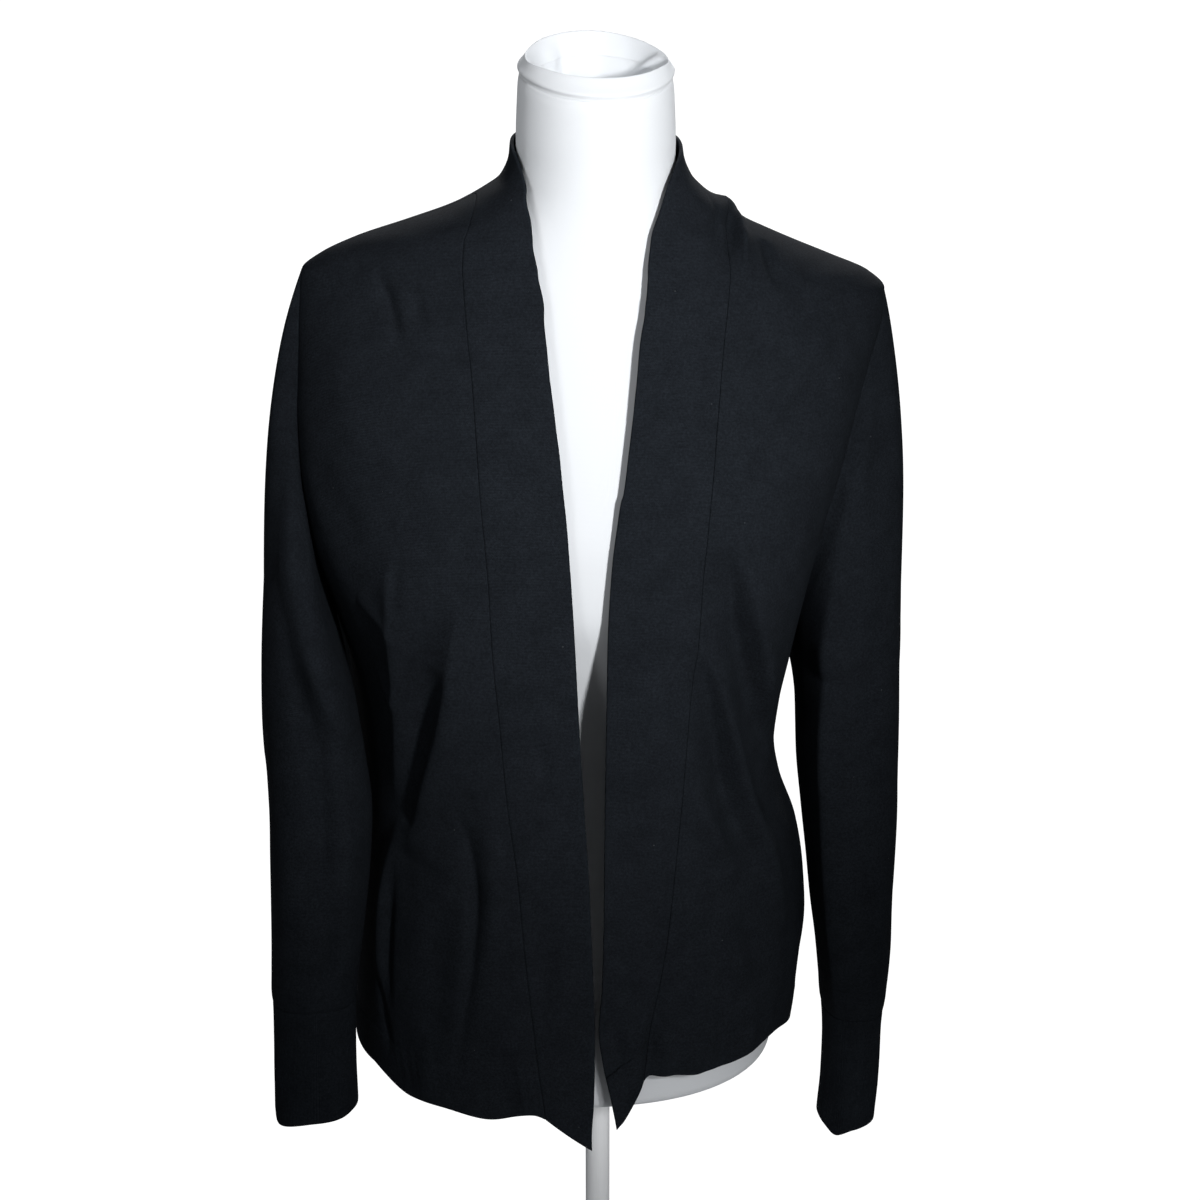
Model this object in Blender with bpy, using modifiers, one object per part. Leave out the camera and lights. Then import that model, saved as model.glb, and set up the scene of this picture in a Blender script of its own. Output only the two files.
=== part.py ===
"""Open-front knitted cardigan on a limbless dress form with a plain stand.

Metres, +Z up, the garment's front faces -Y, the origin is the centre of the base's underside.
"left" and "right" in names are those of someone who looks at the front.
Every panel of cloth is a wall through sections of one body surface, body_point(side angle, height).
"""

import math

import bmesh
import bpy
import numpy as np

# ---------------------------------------------------------------- driving dimensions
CLOTH = 0.0020  # wall of the jersey, seen as one rounded layer
HEM_TURN = 0.030  # height of the turned-up hem
HEM_WALL = 0.0028  # two layers there
BAND_WALL = 0.0026  # the band is a folded strip
CUFF_WALL = 0.0024
SEAM_HALF_GAP = 0.00017  # each side of a seam
SIDE_SEAM_Y = 0.008  # the side seams and shoulder seams lie at this depth
HEM_LEVEL = 0.290

NECK_RADIUS = 0.0550
NECK_TOP = 1.009  # at the axis; the cut slants
NECK_SLANT = 0.225  # rise per metre towards the back
NECK_WELL_DEPTH = 0.034
NECK_WELL_RADIUS = 0.0430
RIM_HEIGHT = 0.0135
RIM_WALL = 0.0090
FORM_BOTTOM = 0.271

BASE_RADIUS = 0.150
BASE_HEIGHT = 0.018
POST_RADIUS = 0.0095
COLLAR_RADIUS = 0.0280
COLLAR_HEIGHT = 0.0120

# Sections of the garment's outer face. z: height. left, right: half widths. front, back: depths from
# the side seam line. power: squareness of the section (2 is an ellipse).
BODY_SECTIONS = [
    # z, left, right, front, back, power
    (0.240, 0.186, 0.144, 0.136, 0.108, 2.30),
    (0.280, 0.186, 0.147, 0.137, 0.109, 2.30),
    (0.340, 0.185, 0.154, 0.139, 0.110, 2.30),
    (0.380, 0.183, 0.157, 0.140, 0.108, 2.30),
    (0.420, 0.180, 0.153, 0.141, 0.103, 2.30),
    (0.465, 0.177, 0.145, 0.142, 0.095, 2.30),
    (0.505, 0.176, 0.133, 0.142, 0.088, 2.30),
    (0.530, 0.176, 0.130, 0.142, 0.085, 2.35),
    (0.565, 0.177, 0.133, 0.143, 0.085, 2.40),
    (0.600, 0.181, 0.139, 0.144, 0.088, 2.50),
    (0.650, 0.194, 0.149, 0.143, 0.093, 2.70),
    (0.700, 0.209, 0.161, 0.138, 0.097, 2.90),
    (0.740, 0.214, 0.173, 0.130, 0.099, 2.90),
    (0.780, 0.215, 0.185, 0.119, 0.099, 2.70),
    (0.815, 0.213, 0.198, 0.109, 0.096, 2.35),
    (0.840, 0.211, 0.207, 0.100, 0.092, 2.00),
    (0.856, 0.209, 0.208, 0.095, 0.088, 1.80),
    (0.868, 0.207, 0.196, 0.091, 0.085, 1.65),
    (0.880, 0.204, 0.168, 0.087, 0.082, 1.58),
    (0.890, 0.191, 0.144, 0.083, 0.079, 1.55),
    (0.900, 0.168, 0.122, 0.079, 0.075, 1.58),
    (0.910, 0.134, 0.102, 0.075, 0.071, 1.65),
    (0.920, 0.103, 0.089, 0.072, 0.067, 1.75),
    (0.930, 0.081, 0.075, 0.070, 0.062, 1.90),
    (0.940, 0.067, 0.066, 0.069, 0.057, 2.00),
    (0.955, 0.0605, 0.0610, 0.068, 0.0540, 2.00),
    (0.975, 0.0600, 0.0600, 0.068, 0.0525, 2.00),
    (1.020, 0.0600, 0.0600, 0.068, 0.0525, 2.00),
]

# Sections of the dress form, with the same columns.
FORM_SECTIONS = [
    (0.270, 0.134, 0.134, 0.117, 0.098, 2.20),
    (0.320, 0.139, 0.139, 0.120, 0.101, 2.20),
    (0.360, 0.143, 0.143, 0.119, 0.101, 2.20),
    (0.400, 0.141, 0.141, 0.116, 0.097, 2.20),
    (0.450, 0.132, 0.132, 0.108, 0.085, 2.20),
    (0.500, 0.122, 0.122, 0.101, 0.076, 2.20),
    (0.530, 0.120, 0.120, 0.099, 0.074, 2.20),
    (0.570, 0.123, 0.123, 0.103, 0.076, 2.25),
    (0.620, 0.131, 0.131, 0.120, 0.080, 2.30),
    (0.660, 0.138, 0.138, 0.131, 0.083, 2.35),
    (0.700, 0.145, 0.145, 0.129, 0.086, 2.40),
    (0.750, 0.154, 0.154, 0.116, 0.088, 2.40),
    (0.800, 0.162, 0.162, 0.101, 0.087, 2.20),
    (0.835, 0.166, 0.166, 0.089, 0.083, 1.95),
    (0.855, 0.163, 0.159, 0.083, 0.078, 1.80),
    (0.870, 0.160, 0.146, 0.079, 0.074, 1.65),
    (0.880, 0.147, 0.132, 0.076, 0.071, 1.58),
    (0.890, 0.128, 0.114, 0.073, 0.067, 1.58),
    (0.900, 0.105, 0.097, 0.070, 0.063, 1.65),
    (0.910, 0.084, 0.082, 0.067, 0.058, 1.78),
    (0.920, 0.069, 0.069, 0.065, 0.054, 1.90),
    (0.935, 0.0585, 0.0585, 0.0635, 0.0490, 2.00),
    (0.955, 0.0550, 0.0550, 0.0630, 0.0470, 2.00),
    (1.060, 0.0550, 0.0550, 0.0630, 0.0470, 2.00),
]

# The front edges: where the band's free edge and its seam cross each height, as x on the body surface.
FRONT_EDGES = [
    # z, left free edge, left seam, right free edge, right seam
    (0.240, -0.0215, -0.0500, -0.0010, 0.0100),
    (0.260, -0.0220, -0.0540, -0.0030, 0.0120),
    (0.290, -0.0205, -0.0570, -0.0080, 0.0150),
    (0.320, -0.0200, -0.0610, -0.0140, 0.0180),
    (0.350, -0.0200, -0.0640, -0.0175, 0.0210),
    (0.380, -0.0210, -0.0670, -0.0155, 0.0260),
    (0.420, -0.0225, -0.0705, -0.0145, 0.0320),
    (0.470, -0.0245, -0.0740, -0.0140, 0.0365),
    (0.530, -0.0280, -0.0800, -0.0135, 0.0420),
    (0.590, -0.0315, -0.0840, -0.0130, 0.0470),
    (0.645, -0.0340, -0.0890, -0.0120, 0.0520),
    (0.700, -0.0365, -0.0920, -0.0080, 0.0560),
    (0.750, -0.0390, -0.0950, 0.0010, 0.0620),
    (0.790, -0.0420, -0.0960, 0.0080, 0.0670),
    (0.825, -0.0450, -0.0970, 0.0130, 0.0720),
    (0.855, -0.0480, -0.0985, 0.0175, 0.0775),
    (0.885, -0.0500, -0.0990, 0.0225, 0.0840),
    (0.905, -0.0525, -0.0965, 0.0270, 0.0885),
]
NECK_POINT = {-1: 0.9285, 1: 0.9180}  # height where the band's seam meets the shoulder seam
BACK_NECK_Z = 0.908  # height of the back neck seam at the centre back

# The free edge above the last row of FRONT_EDGES, up the side of the neck to the centre back:
# side angle from the front in degrees, height.
COLLAR_EDGE = {
    -1: [(33.5, 0.920), (50.0, 0.934), (66.0, 0.947), (83.0, 0.960), (105.0, 0.964), (135.0, 0.964), (160.0, 0.963), (180.0, 0.962)],
    1: [(22.0, 0.915), (31.0, 0.930), (43.0, 0.942), (60.0, 0.950), (84.0, 0.957), (105.0, 0.960), (135.0, 0.961), (160.0, 0.962), (180.0, 0.962)],
}

# The hem's height over x (left half, right half), and of the back by its side angle.
HEM_FRONT = [
    (-0.175, 0.292), (-0.150, 0.280), (-0.128, 0.279), (-0.098, 0.275), (-0.065, 0.281),
    (-0.050, 0.274), (-0.038, 0.262), (-0.022, 0.250), (-0.012, 0.250),
    (-0.010, 0.266), (-0.002, 0.266), (0.003, 0.288), (0.012, 0.300), (0.022, 0.308),
    (0.058, 0.306), (0.094, 0.307), (0.120, 0.313), (0.150, 0.296),
]
HEM_BACK = [(-90.0, 0.292), (-120.0, 0.286), (180.0, 0.284), (120.0, 0.288), (90.0, 0.296)]

# Armholes: heights of the shoulder tip and the underarm, and the bite of the hole to the front and back.
ARMHOLES = {
    -1: dict(tip=0.880, under=0.640, front=12.0, back=14.0),
    1: dict(tip=0.856, under=0.610, front=19.0, back=16.0),
}

# Sleeve sections below the armhole: height, centre x, centre y, half width, half depth, power.
SLEEVE_SECTIONS = {
    -1: [
        (0.580, -0.2106, -0.0450, 0.0316, 0.0430, 2.2),
        (0.545, -0.2087, -0.0495, 0.0346, 0.0415, 2.2),
        (0.505, -0.2073, -0.0525, 0.0367, 0.0395, 2.2),
        (0.465, -0.2093, -0.0545, 0.0360, 0.0385, 2.2),
        (0.425, -0.2123, -0.0555, 0.0343, 0.0370, 2.2),
        (0.395, -0.2146, -0.0558, 0.0328, 0.0345, 2.3),
        (0.374, -0.2164, -0.0562, 0.0316, 0.0315, 2.4),
        (0.354, -0.2176, -0.0565, 0.0302, 0.0270, 2.5),
    ],
    1: [
        (0.550, 0.1830, -0.0200, 0.0365, 0.0450, 2.2),
        (0.510, 0.1840, -0.0220, 0.0358, 0.0435, 2.2),
        (0.470, 0.1865, -0.0240, 0.0340, 0.0420, 2.2),
        (0.430, 0.1885, -0.0260, 0.0315, 0.0410, 2.2),
        (0.390, 0.1905, -0.0275, 0.0295, 0.0395, 2.2),
        (0.355, 0.1930, -0.0290, 0.0272, 0.0375, 2.2),
        (0.328, 0.1940, -0.0298, 0.0250, 0.0345, 2.3),
        (0.303, 0.1945, -0.0305, 0.0226, 0.0300, 2.4),
    ],
}
CUFF_SECTIONS = {
    -1: [
        (0.353, -0.2176, -0.0565, 0.0300, 0.0262, 2.5),
        (0.322, -0.2182, -0.0567, 0.0300, 0.0235, 2.7),
        (0.291, -0.2192, -0.0570, 0.0304, 0.0220, 2.9),
        (0.263, -0.2202, -0.0572, 0.0308, 0.0215, 3.0),
    ],
    1: [
        (0.302, 0.1945, -0.0305, 0.0222, 0.0290, 2.4),
        (0.276, 0.1946, -0.0310, 0.0214, 0.0270, 2.5),
        (0.241, 0.1944, -0.0316, 0.0212, 0.0265, 2.6),
        (0.211, 0.1928, -0.0320, 0.0210, 0.0265, 2.6),
    ],
}

# The largest folds of the body cloth, each a soft ridge (height above 0) or trough (below 0) between
# two points on the surface. where: side angle in degrees from the front, negative to the left.
BODY_FOLDS = [
    # where, z at its start; where, z at its end; half width; height
    (-43.0, 0.615, -67.0, 0.440, 0.0110, -0.0070),
    (-30.0, 0.640, -46.0, 0.450, 0.0170, 0.0045),
    (-38.0, 0.440, -40.0, 0.300, 0.0060, -0.0040),
    (-62.0, 0.430, -66.0, 0.300, 0.0100, -0.0045),
    (40.0, 0.640, 58.0, 0.450, 0.0130, -0.0055),
    (28.0, 0.620, 44.0, 0.400, 0.0150, 0.0040),
    (64.0, 0.600, 74.0, 0.470, 0.0090, 0.0040),
    (38.0, 0.830, 22.0, 0.700, 0.0200, 0.0035),
    (-70.0, 0.720, -58.0, 0.600, 0.0150, 0.0040),
    (120.0, 0.620, 112.0, 0.400, 0.0200, -0.0060),
    (-122.0, 0.600, -112.0, 0.380, 0.0200, -0.0060),
    (150.0, 0.560, 146.0, 0.340, 0.0220, 0.0050),
    (-150.0, 0.570, -144.0, 0.330, 0.0220, 0.0050),
    (176.0, 0.560, 178.0, 0.330, 0.0200, -0.0050),
]

FRONT_COLUMNS, BACK_COLUMNS, BAND_COLUMNS = 8, 20, 3
SKIRT_ROWS, ARMHOLE_ROWS, SHOULDER_ROWS, NECK_ROWS = 10, 10, 4, 6
SLEEVE_HEAD_RINGS = 6

COLLECTION = "cardigan_on_dress_form"


# ---------------------------------------------------------------- helpers
def smooth_table(rows, column):
    """A monotone cubic through one column of a table whose first column is the height."""
    x = np.array([row[0] for row in rows], float)
    y = np.array([row[column] for row in rows], float)
    step = np.diff(x)
    slope = np.diff(y) / step
    tangent = np.zeros(len(x))
    tangent[0], tangent[-1] = slope[0], slope[-1]
    for i in range(1, len(x) - 1):
        if slope[i - 1] * slope[i] > 0:
            w1, w2 = 2 * step[i] + step[i - 1], step[i] + 2 * step[i - 1]
            tangent[i] = (w1 + w2) / (w1 / slope[i - 1] + w2 / slope[i])

    def value(at):
        at = min(max(at, x[0]), x[-1])
        i = min(int(np.searchsorted(x, at, side="right")) - 1, len(x) - 2)
        i = max(i, 0)
        t = (at - x[i]) / step[i]
        return float(
            (1 + 2 * t) * (1 - t) ** 2 * y[i]
            + t * (1 - t) ** 2 * step[i] * tangent[i]
            + t * t * (3 - 2 * t) * y[i + 1]
            + t * t * (t - 1) * step[i] * tangent[i + 1]
        )

    return value


class Sections:
    """A closed form through superellipse sections: point(side angle from the front, height)."""

    def __init__(self, rows):
        self.left, self.right, self.front, self.back, self.power = (
            smooth_table(rows, k) for k in range(1, 6)
        )

    def half_width(self, side, z):
        return self.left(z) if side < 0 else self.right(z)

    def point(self, angle, z):
        n = self.power(z)
        s, c = math.sin(angle), math.cos(angle)
        x = math.copysign(abs(s) ** (2 / n), s) * self.half_width(s, z)
        depth = self.front(z) if c > 0 else self.back(z)
        y = SIDE_SEAM_Y - math.copysign(abs(c) ** (2 / n), c) * depth
        return np.array((x, y, z))

    def angle_at(self, x, z):
        """The side angle of the front surface at this x."""
        share = min(abs(x) / self.half_width(x, z), 1.0)
        return math.copysign(math.asin(share ** (self.power(z) / 2)), x)


BODY = Sections(BODY_SECTIONS)
FORM = Sections(FORM_SECTIONS)


def unit(v):
    return v / max(float(np.linalg.norm(v)), 1e-12)


def plain_normal(surface, angle, z):
    d = 1e-3
    along = surface.point(angle + d * 4, z) - surface.point(angle - d * 4, z)
    up = surface.point(angle, z + d) - surface.point(angle, z - d)
    n = np.cross(along, up)
    return unit(n)


FOLD_ENDS = [
    (BODY.point(math.radians(a0), z0), BODY.point(math.radians(a1), z1), width, height)
    for a0, z0, a1, z1, width, height in BODY_FOLDS
]


def fold_height(p):
    """The sum of the folds at a point of the smooth surface."""
    total = 0.0
    for start, end, width, height in FOLD_ENDS:
        line = end - start
        t = float(np.dot(p - start, line) / np.dot(line, line))
        t_in = min(max(t, 0.0), 1.0)
        away = float(np.linalg.norm(p - start - t_in * line)) / width
        if away < 3.0:
            total += height * math.exp(-away * away) * (0.35 + 0.65 * math.sin(math.pi * min(max(t_in, 0.08), 0.92)))
    return total


def body_point(angle, z):
    p = BODY.point(angle, z)
    return p + plain_normal(BODY, angle, z) * fold_height(p)


def body_normal(angle, z):
    d = 2e-3
    along = body_point(angle + d * 4, z) - body_point(angle - d * 4, z)
    up = body_point(angle, z + d) - body_point(angle, z - d)
    n = unit(np.cross(along, up))
    smooth = plain_normal(BODY, angle, z)
    return unit(n + 0.6 * smooth)


def inset(points, edges):
    """Moves the boundary rows or columns of a grid inwards by half a seam gap."""
    g = SEAM_HALF_GAP
    moved = points.copy()
    for i in range(points.shape[0]):
        if "first" in edges:
            moved[i, 0] += g * unit(points[i, 1] - points[i, 0])
        if "last" in edges:
            moved[i, -1] += g * unit(points[i, -2] - points[i, -1])
    for j in range(points.shape[1]):
        if "bottom" in edges:
            moved[0, j] += g * unit(points[1, j] - points[0, j])
        if "top" in edges:
            moved[-1, j] += g * unit(points[-2, j] - points[-1, j])
    return moved


def material(name, colour, roughness, metallic=0.0):
    made = bpy.data.materials.new(name)
    made.use_nodes = True
    bsdf = made.node_tree.nodes["Principled BSDF"]
    bsdf.inputs["Base Color"].default_value = (*colour, 1.0)
    bsdf.inputs["Roughness"].default_value = roughness
    bsdf.inputs["Metallic"].default_value = metallic
    return made


def add_object(name, bm, finish, sharp=35.0):
    mesh = bpy.data.meshes.new(name)
    bm.to_mesh(mesh)
    bm.free()
    made = bpy.data.objects.new(name, mesh)
    PARTS.objects.link(made)
    made.parent = ROOT
    mesh.materials.append(finish)
    mesh.shade_smooth()
    mesh.set_sharp_from_angle(angle=math.radians(sharp))
    return made


def wall(name, outer, normals, thickness, finish, closed=False):
    """A cloth wall: the outer grid, and an inner grid moved in by its thickness, joined along their edges."""
    rows, columns = outer.shape[:2]
    inner = outer - normals * thickness[..., None]
    bm = bmesh.new()
    front = [[bm.verts.new(outer[i, j]) for j in range(columns)] for i in range(rows)]
    rear = [[bm.verts.new(inner[i, j]) for j in range(columns)] for i in range(rows)]
    span = columns if closed else columns - 1

    def face(*corners):
        kept = []
        for v in corners:
            if v not in kept:
                kept.append(v)
        if len(kept) > 2:
            bm.faces.new(kept)

    for i in range(rows - 1):
        for j in range(span):
            k = (j + 1) % columns
            face(front[i][j], front[i][k], front[i + 1][k], front[i + 1][j])
            face(rear[i][j], rear[i + 1][j], rear[i + 1][k], rear[i][k])
    for j in range(span):
        k = (j + 1) % columns
        face(front[0][k], front[0][j], rear[0][j], rear[0][k])
        face(front[-1][j], front[-1][k], rear[-1][k], rear[-1][j])
    if not closed:
        for i in range(rows - 1):
            face(front[i][0], front[i + 1][0], rear[i + 1][0], rear[i][0])
            face(front[i + 1][-1], front[i][-1], rear[i][-1], rear[i + 1][-1])
    bmesh.ops.remove_doubles(bm, verts=bm.verts, dist=2e-5)
    bmesh.ops.triangulate(bm, faces=bm.faces, quad_method="BEAUTY")
    bmesh.ops.recalc_face_normals(bm, faces=bm.faces)
    return add_object(name, bm, finish)


# ---------------------------------------------------------------- rows and seams of the body
def hem_height(angle):
    """The hem's height at a side angle."""
    degrees = math.degrees(angle)
    if abs(degrees) <= 90:
        x = BODY.point(angle, HEM_LEVEL)[0]
        xs, zs = zip(*HEM_FRONT)
        return float(np.interp(x, xs, zs))
    xs, zs = [], []
    for a, z in HEM_BACK:
        xs.append(a % 360)
        zs.append(z)
    order = np.argsort(xs)
    return float(np.interp(degrees % 360, np.array(xs)[order], np.array(zs)[order]))


def skirt_level(share, angle, top):
    """A row's height below the underarm: level at the top, and along the hem at the bottom."""
    level = HEM_LEVEL + (top - HEM_LEVEL) * share
    return level + (hem_height(angle) - HEM_LEVEL) * max(0.0, 1 - share * 1.9) ** 1.6


SKIRT_SHARES = [0.0] + [HEM_TURN / 0.33] + [
    HEM_TURN / 0.33 + (1 - HEM_TURN / 0.33) * k / (SKIRT_ROWS - 1) for k in range(1, SKIRT_ROWS)
]

EDGE = {
    (-1, "free"): smooth_table(FRONT_EDGES, 1),
    (-1, "seam"): smooth_table(FRONT_EDGES, 2),
    (1, "free"): smooth_table(FRONT_EDGES, 3),
    (1, "seam"): smooth_table(FRONT_EDGES, 4),
}


def armhole(side, turn):
    """(bite to the front, bite to the back, height) round the armhole: turn is 0 at the tip and pi at the underarm."""
    hole = ARMHOLES[side]
    middle, half = (hole["tip"] + hole["under"]) / 2, (hole["tip"] - hole["under"]) / 2
    z = middle + half * math.cos(turn)
    bulge = math.sin(turn) ** 0.9
    return math.radians(hole["front"]) * bulge, math.radians(hole["back"]) * bulge, z


def seam_angle(side, z):
    """The side angle of the band's seam at this height, up to where it meets the shoulder seam."""
    top = NECK_POINT[side]
    last = FRONT_EDGES[-1][0]
    if z <= last:
        return BODY.angle_at(EDGE[side, "seam"](z), z)
    below = EDGE[side, "seam"](last)
    t = (z - last) / (top - last)
    return BODY.angle_at(below + (side * BODY.half_width(side, top) - below) * t, z)


SLEEVE_POINTS = 2 * ARMHOLE_ROWS


def sleeve_ring(rows, z, j):
    """A point of a sleeve section at height z: j is 0 outside, a quarter turn at the front, half a turn inside."""
    side = -1 if rows[0][1] < 0 else 1
    table = sorted(rows)
    cx, cy, rx, ry, n = (smooth_table(table, k)(z) for k in range(1, 6))
    turn = 2 * math.pi * j / SLEEVE_POINTS
    c, s = math.cos(turn), math.sin(turn)
    x = cx + side * rx * math.copysign(abs(c) ** (2 / n), c)
    y = cy - ry * math.copysign(abs(s) ** (2 / n), s)
    return np.array((x, y, z))


def armhole_point(side, j):
    """The armhole's seam point j: 0 at the shoulder tip, on through the front, the underarm and the back."""
    if j <= ARMHOLE_ROWS:
        bite, _, z = armhole(side, math.pi * j / ARMHOLE_ROWS)
        angle = side * (math.pi / 2 - bite)
    else:
        _, bite, z = armhole(side, math.pi * (SLEEVE_POINTS - j) / ARMHOLE_ROWS)
        angle = side * (math.pi / 2 + bite)
    return body_point(angle, z), angle, z


def sleeve_head(side, share, j):
    """A point between the armhole (share 0) and the first level section (share 1)."""
    start, _, _ = armhole_point(side, j)
    end = sleeve_ring(SLEEVE_SECTIONS[side], SLEEVE_SECTIONS[side][0][0], j)
    p = start + (end - start) * share
    turn = 2 * math.pi * j / SLEEVE_POINTS
    outside = 0.5 + 0.5 * math.cos(turn)
    swell = math.sin(math.pi * share ** 0.6)
    p[0] += side * (0.0060 if side < 0 else 0.0045) * swell * outside
    p[1] -= 0.0050 * swell * max(0.0, math.sin(turn)) - 0.0080 * swell * max(0.0, -math.sin(turn))
    return p


def grid_normals(points, flip):
    """Normals of a grid that is closed along its columns."""
    around = np.roll(points, -1, axis=1) - np.roll(points, 1, axis=1)
    along = np.empty_like(points)
    along[1:-1] = points[2:] - points[:-2]
    along[0], along[-1] = points[1] - points[0], points[-1] - points[-2]
    n = np.cross(around, along) * flip
    return n / np.maximum(np.linalg.norm(n, axis=2, keepdims=True), 1e-12)


def sleeve_grid(side):
    rows = SLEEVE_SECTIONS[side]
    points = [
        [sleeve_head(side, k / SLEEVE_HEAD_RINGS, j) for j in range(SLEEVE_POINTS)]
        for k in range(SLEEVE_HEAD_RINGS + 1)
    ]
    top, bottom = rows[0][0], rows[-1][0]
    for k in range(1, 10):
        z = top + (bottom - top) * k / 9
        points.append([sleeve_ring(rows, z, j) for j in range(SLEEVE_POINTS)])
    return np.array(points)


def armhole_seam(side):
    """For each seam point of an armhole, the common outward direction of both pieces, and the way from sleeve to body."""
    grid = sleeve_grid(side)
    sleeve_n = grid_normals(grid, side)
    found = []
    for j in range(SLEEVE_POINTS):
        p, angle, z = armhole_point(side, j)
        n = body_normal(angle, z) + sleeve_n[0, j]
        if np.linalg.norm(n) < 0.2:
            n = np.array((0.0, 0.0, -1.0))
        n = unit(n)
        before, _, _ = armhole_point(side, (j - 1) % SLEEVE_POINTS)
        after, _, _ = armhole_point(side, (j + 1) % SLEEVE_POINTS)
        across = unit(np.cross(n, unit(after - before)))
        into_sleeve = grid[1, j] - grid[0, j]
        if j == ARMHOLE_ROWS or abs(np.dot(across, unit(into_sleeve))) < 0.2:
            into_sleeve = np.array((side, 0.0, 0.0))
        if np.dot(across, into_sleeve) > 0:
            across = -across
        found.append((n, across))
    return grid, sleeve_n, found


# ---------------------------------------------------------------- the pieces
def clear_scene():
    for obj in list(bpy.data.objects):
        bpy.data.objects.remove(obj, do_unlink=True)


clear_scene()
PARTS = bpy.data.collections.new(COLLECTION)
bpy.context.scene.collection.children.link(PARTS)
ROOT = bpy.data.objects.new("garment_root", None)
PARTS.objects.link(ROOT)

KNIT = material("black_jersey", (0.0095, 0.0115, 0.0140), 0.92)
RIB = material("black_rib", (0.0090, 0.0110, 0.0135), 0.92)
JERSEY = material("white_form_jersey", (0.80, 0.82, 0.84), 0.90)
PAINT = material("white_painted_steel", (0.78, 0.79, 0.80), 0.45)

SEAMS = {side: armhole_seam(side) for side in (-1, 1)}


def skirt_rows(side):
    """Row shares below the underarm and the turns round the armhole, from the hem up."""
    return [("skirt", share) for share in SKIRT_SHARES] + [
        ("hole", math.pi * (1 - k / ARMHOLE_ROWS)) for k in range(1, ARMHOLE_ROWS + 1)
    ]


def hem_thickness(rows, columns):
    thick = np.full((rows, columns), CLOTH)
    thick[0, :] = HEM_WALL
    thick[1, :] = HEM_WALL
    return thick


def front_seam_points(side):
    """The band's seam from the hem to the neck point, a point for each row: (angle, z)."""
    under = ARMHOLES[side]["under"]
    points = []
    for kind, value in skirt_rows(side):
        if kind == "skirt":
            z = HEM_LEVEL + (under - HEM_LEVEL) * value
            for _ in range(4):
                angle = seam_angle(side, z)
                z = skirt_level(value, angle, under)
        else:
            z = armhole(side, value)[2]
            angle = seam_angle(side, z)
        points.append((angle, z))
    tip = ARMHOLES[side]["tip"]
    top = NECK_POINT[side]
    for k in range(1, SHOULDER_ROWS + 1):
        z = tip + (top - tip) * k / SHOULDER_ROWS
        points.append((seam_angle(side, z), z))
    return points


def shoulder_point(side, share, rise):
    """A point of the shoulder zone. share: 0 at the neck end, 1 at the tip. rise: 0 on the tip's level, 1 on the shoulder seam."""
    tip, top = ARMHOLES[side]["tip"], NECK_POINT[side]
    z_seam = top + (tip - top) * share ** 1.25
    return tip + (z_seam - tip) * (1 - (1 - rise) ** 1.6)


def make_front(side, name):
    under = ARMHOLES[side]["under"]
    seam = front_seam_points(side)
    _, _, hole_seam = SEAMS[side]
    rows = skirt_rows(side)
    outer, normals = [], []
    for i, (kind, value) in enumerate(rows):
        start, z0 = seam[i]
        if kind == "hole":
            bite, _, level = armhole(side, value)
            end = side * (math.pi / 2 - bite)
        else:
            end = side * math.pi / 2
        line, line_n = [], []
        for j in range(FRONT_COLUMNS + 1):
            angle = start + (end - start) * j / FRONT_COLUMNS
            z = skirt_level(value, angle, under) if kind == "skirt" else level
            line.append(body_point(angle, z))
            line_n.append(body_normal(angle, z))
        outer.append(line)
        normals.append(line_n)
    tip = ARMHOLES[side]["tip"]
    for k in range(1, SHOULDER_ROWS + 1):
        rise = k / SHOULDER_ROWS
        start, z0 = seam[len(rows) + k - 1]
        line, line_n = [], []
        for j in range(FRONT_COLUMNS + 1):
            share = j / FRONT_COLUMNS
            z = z0 if j == 0 else shoulder_point(side, share, rise)
            x_low = outer[len(rows) - 1][j][0]
            z_seam = shoulder_point(side, share, 1.0)
            x_seam = side * BODY.half_width(side, z_seam)
            x = x_low + (x_seam - x_low) * rise
            if j == 0:
                angle = start
            elif k == SHOULDER_ROWS or j == FRONT_COLUMNS:
                angle = side * math.pi / 2
            else:
                angle = BODY.angle_at(side * min(abs(x), BODY.half_width(side, z) * 0.9995), z)
            line.append(body_point(angle, z))
            line_n.append(body_normal(angle, z))
        outer.append(line)
        normals.append(line_n)
    outer, normals = np.array(outer), np.array(normals)
    edges = inset(outer, ("first",))
    # the side seam, below the armhole
    for i, (kind, value) in enumerate(rows):
        if kind == "skirt" and value < 1.0:
            edges[i, -1] += SEAM_HALF_GAP * unit(outer[i, -2] - outer[i, -1])
        else:
            j = ARMHOLE_ROWS if kind == "skirt" else round(value / math.pi * ARMHOLE_ROWS)
            n, across = hole_seam[j]
            edges[i, -1] = outer[i, -1] + across * SEAM_HALF_GAP + (0, -SEAM_HALF_GAP if j in (0, ARMHOLE_ROWS) else 0, 0)
            normals[i, -1] = n
    # the shoulder seam
    for i in range(len(rows), len(outer)):
        edges[i, -1] = edges[len(rows) - 1, -1]
        normals[i, -1] = normals[len(rows) - 1, -1]
    for j in range(FRONT_COLUMNS):
        edges[-1, j] += (0, -SEAM_HALF_GAP, 0)
        normals[-1, j] = unit(normals[-1, j] * (1, 0, 1))
    normals[-1, :FRONT_COLUMNS] = [unit(n) for n in normals[-1, :FRONT_COLUMNS]]
    return wall(name, edges, normals * 1.0, hem_thickness(*outer.shape[:2]), KNIT)


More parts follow.
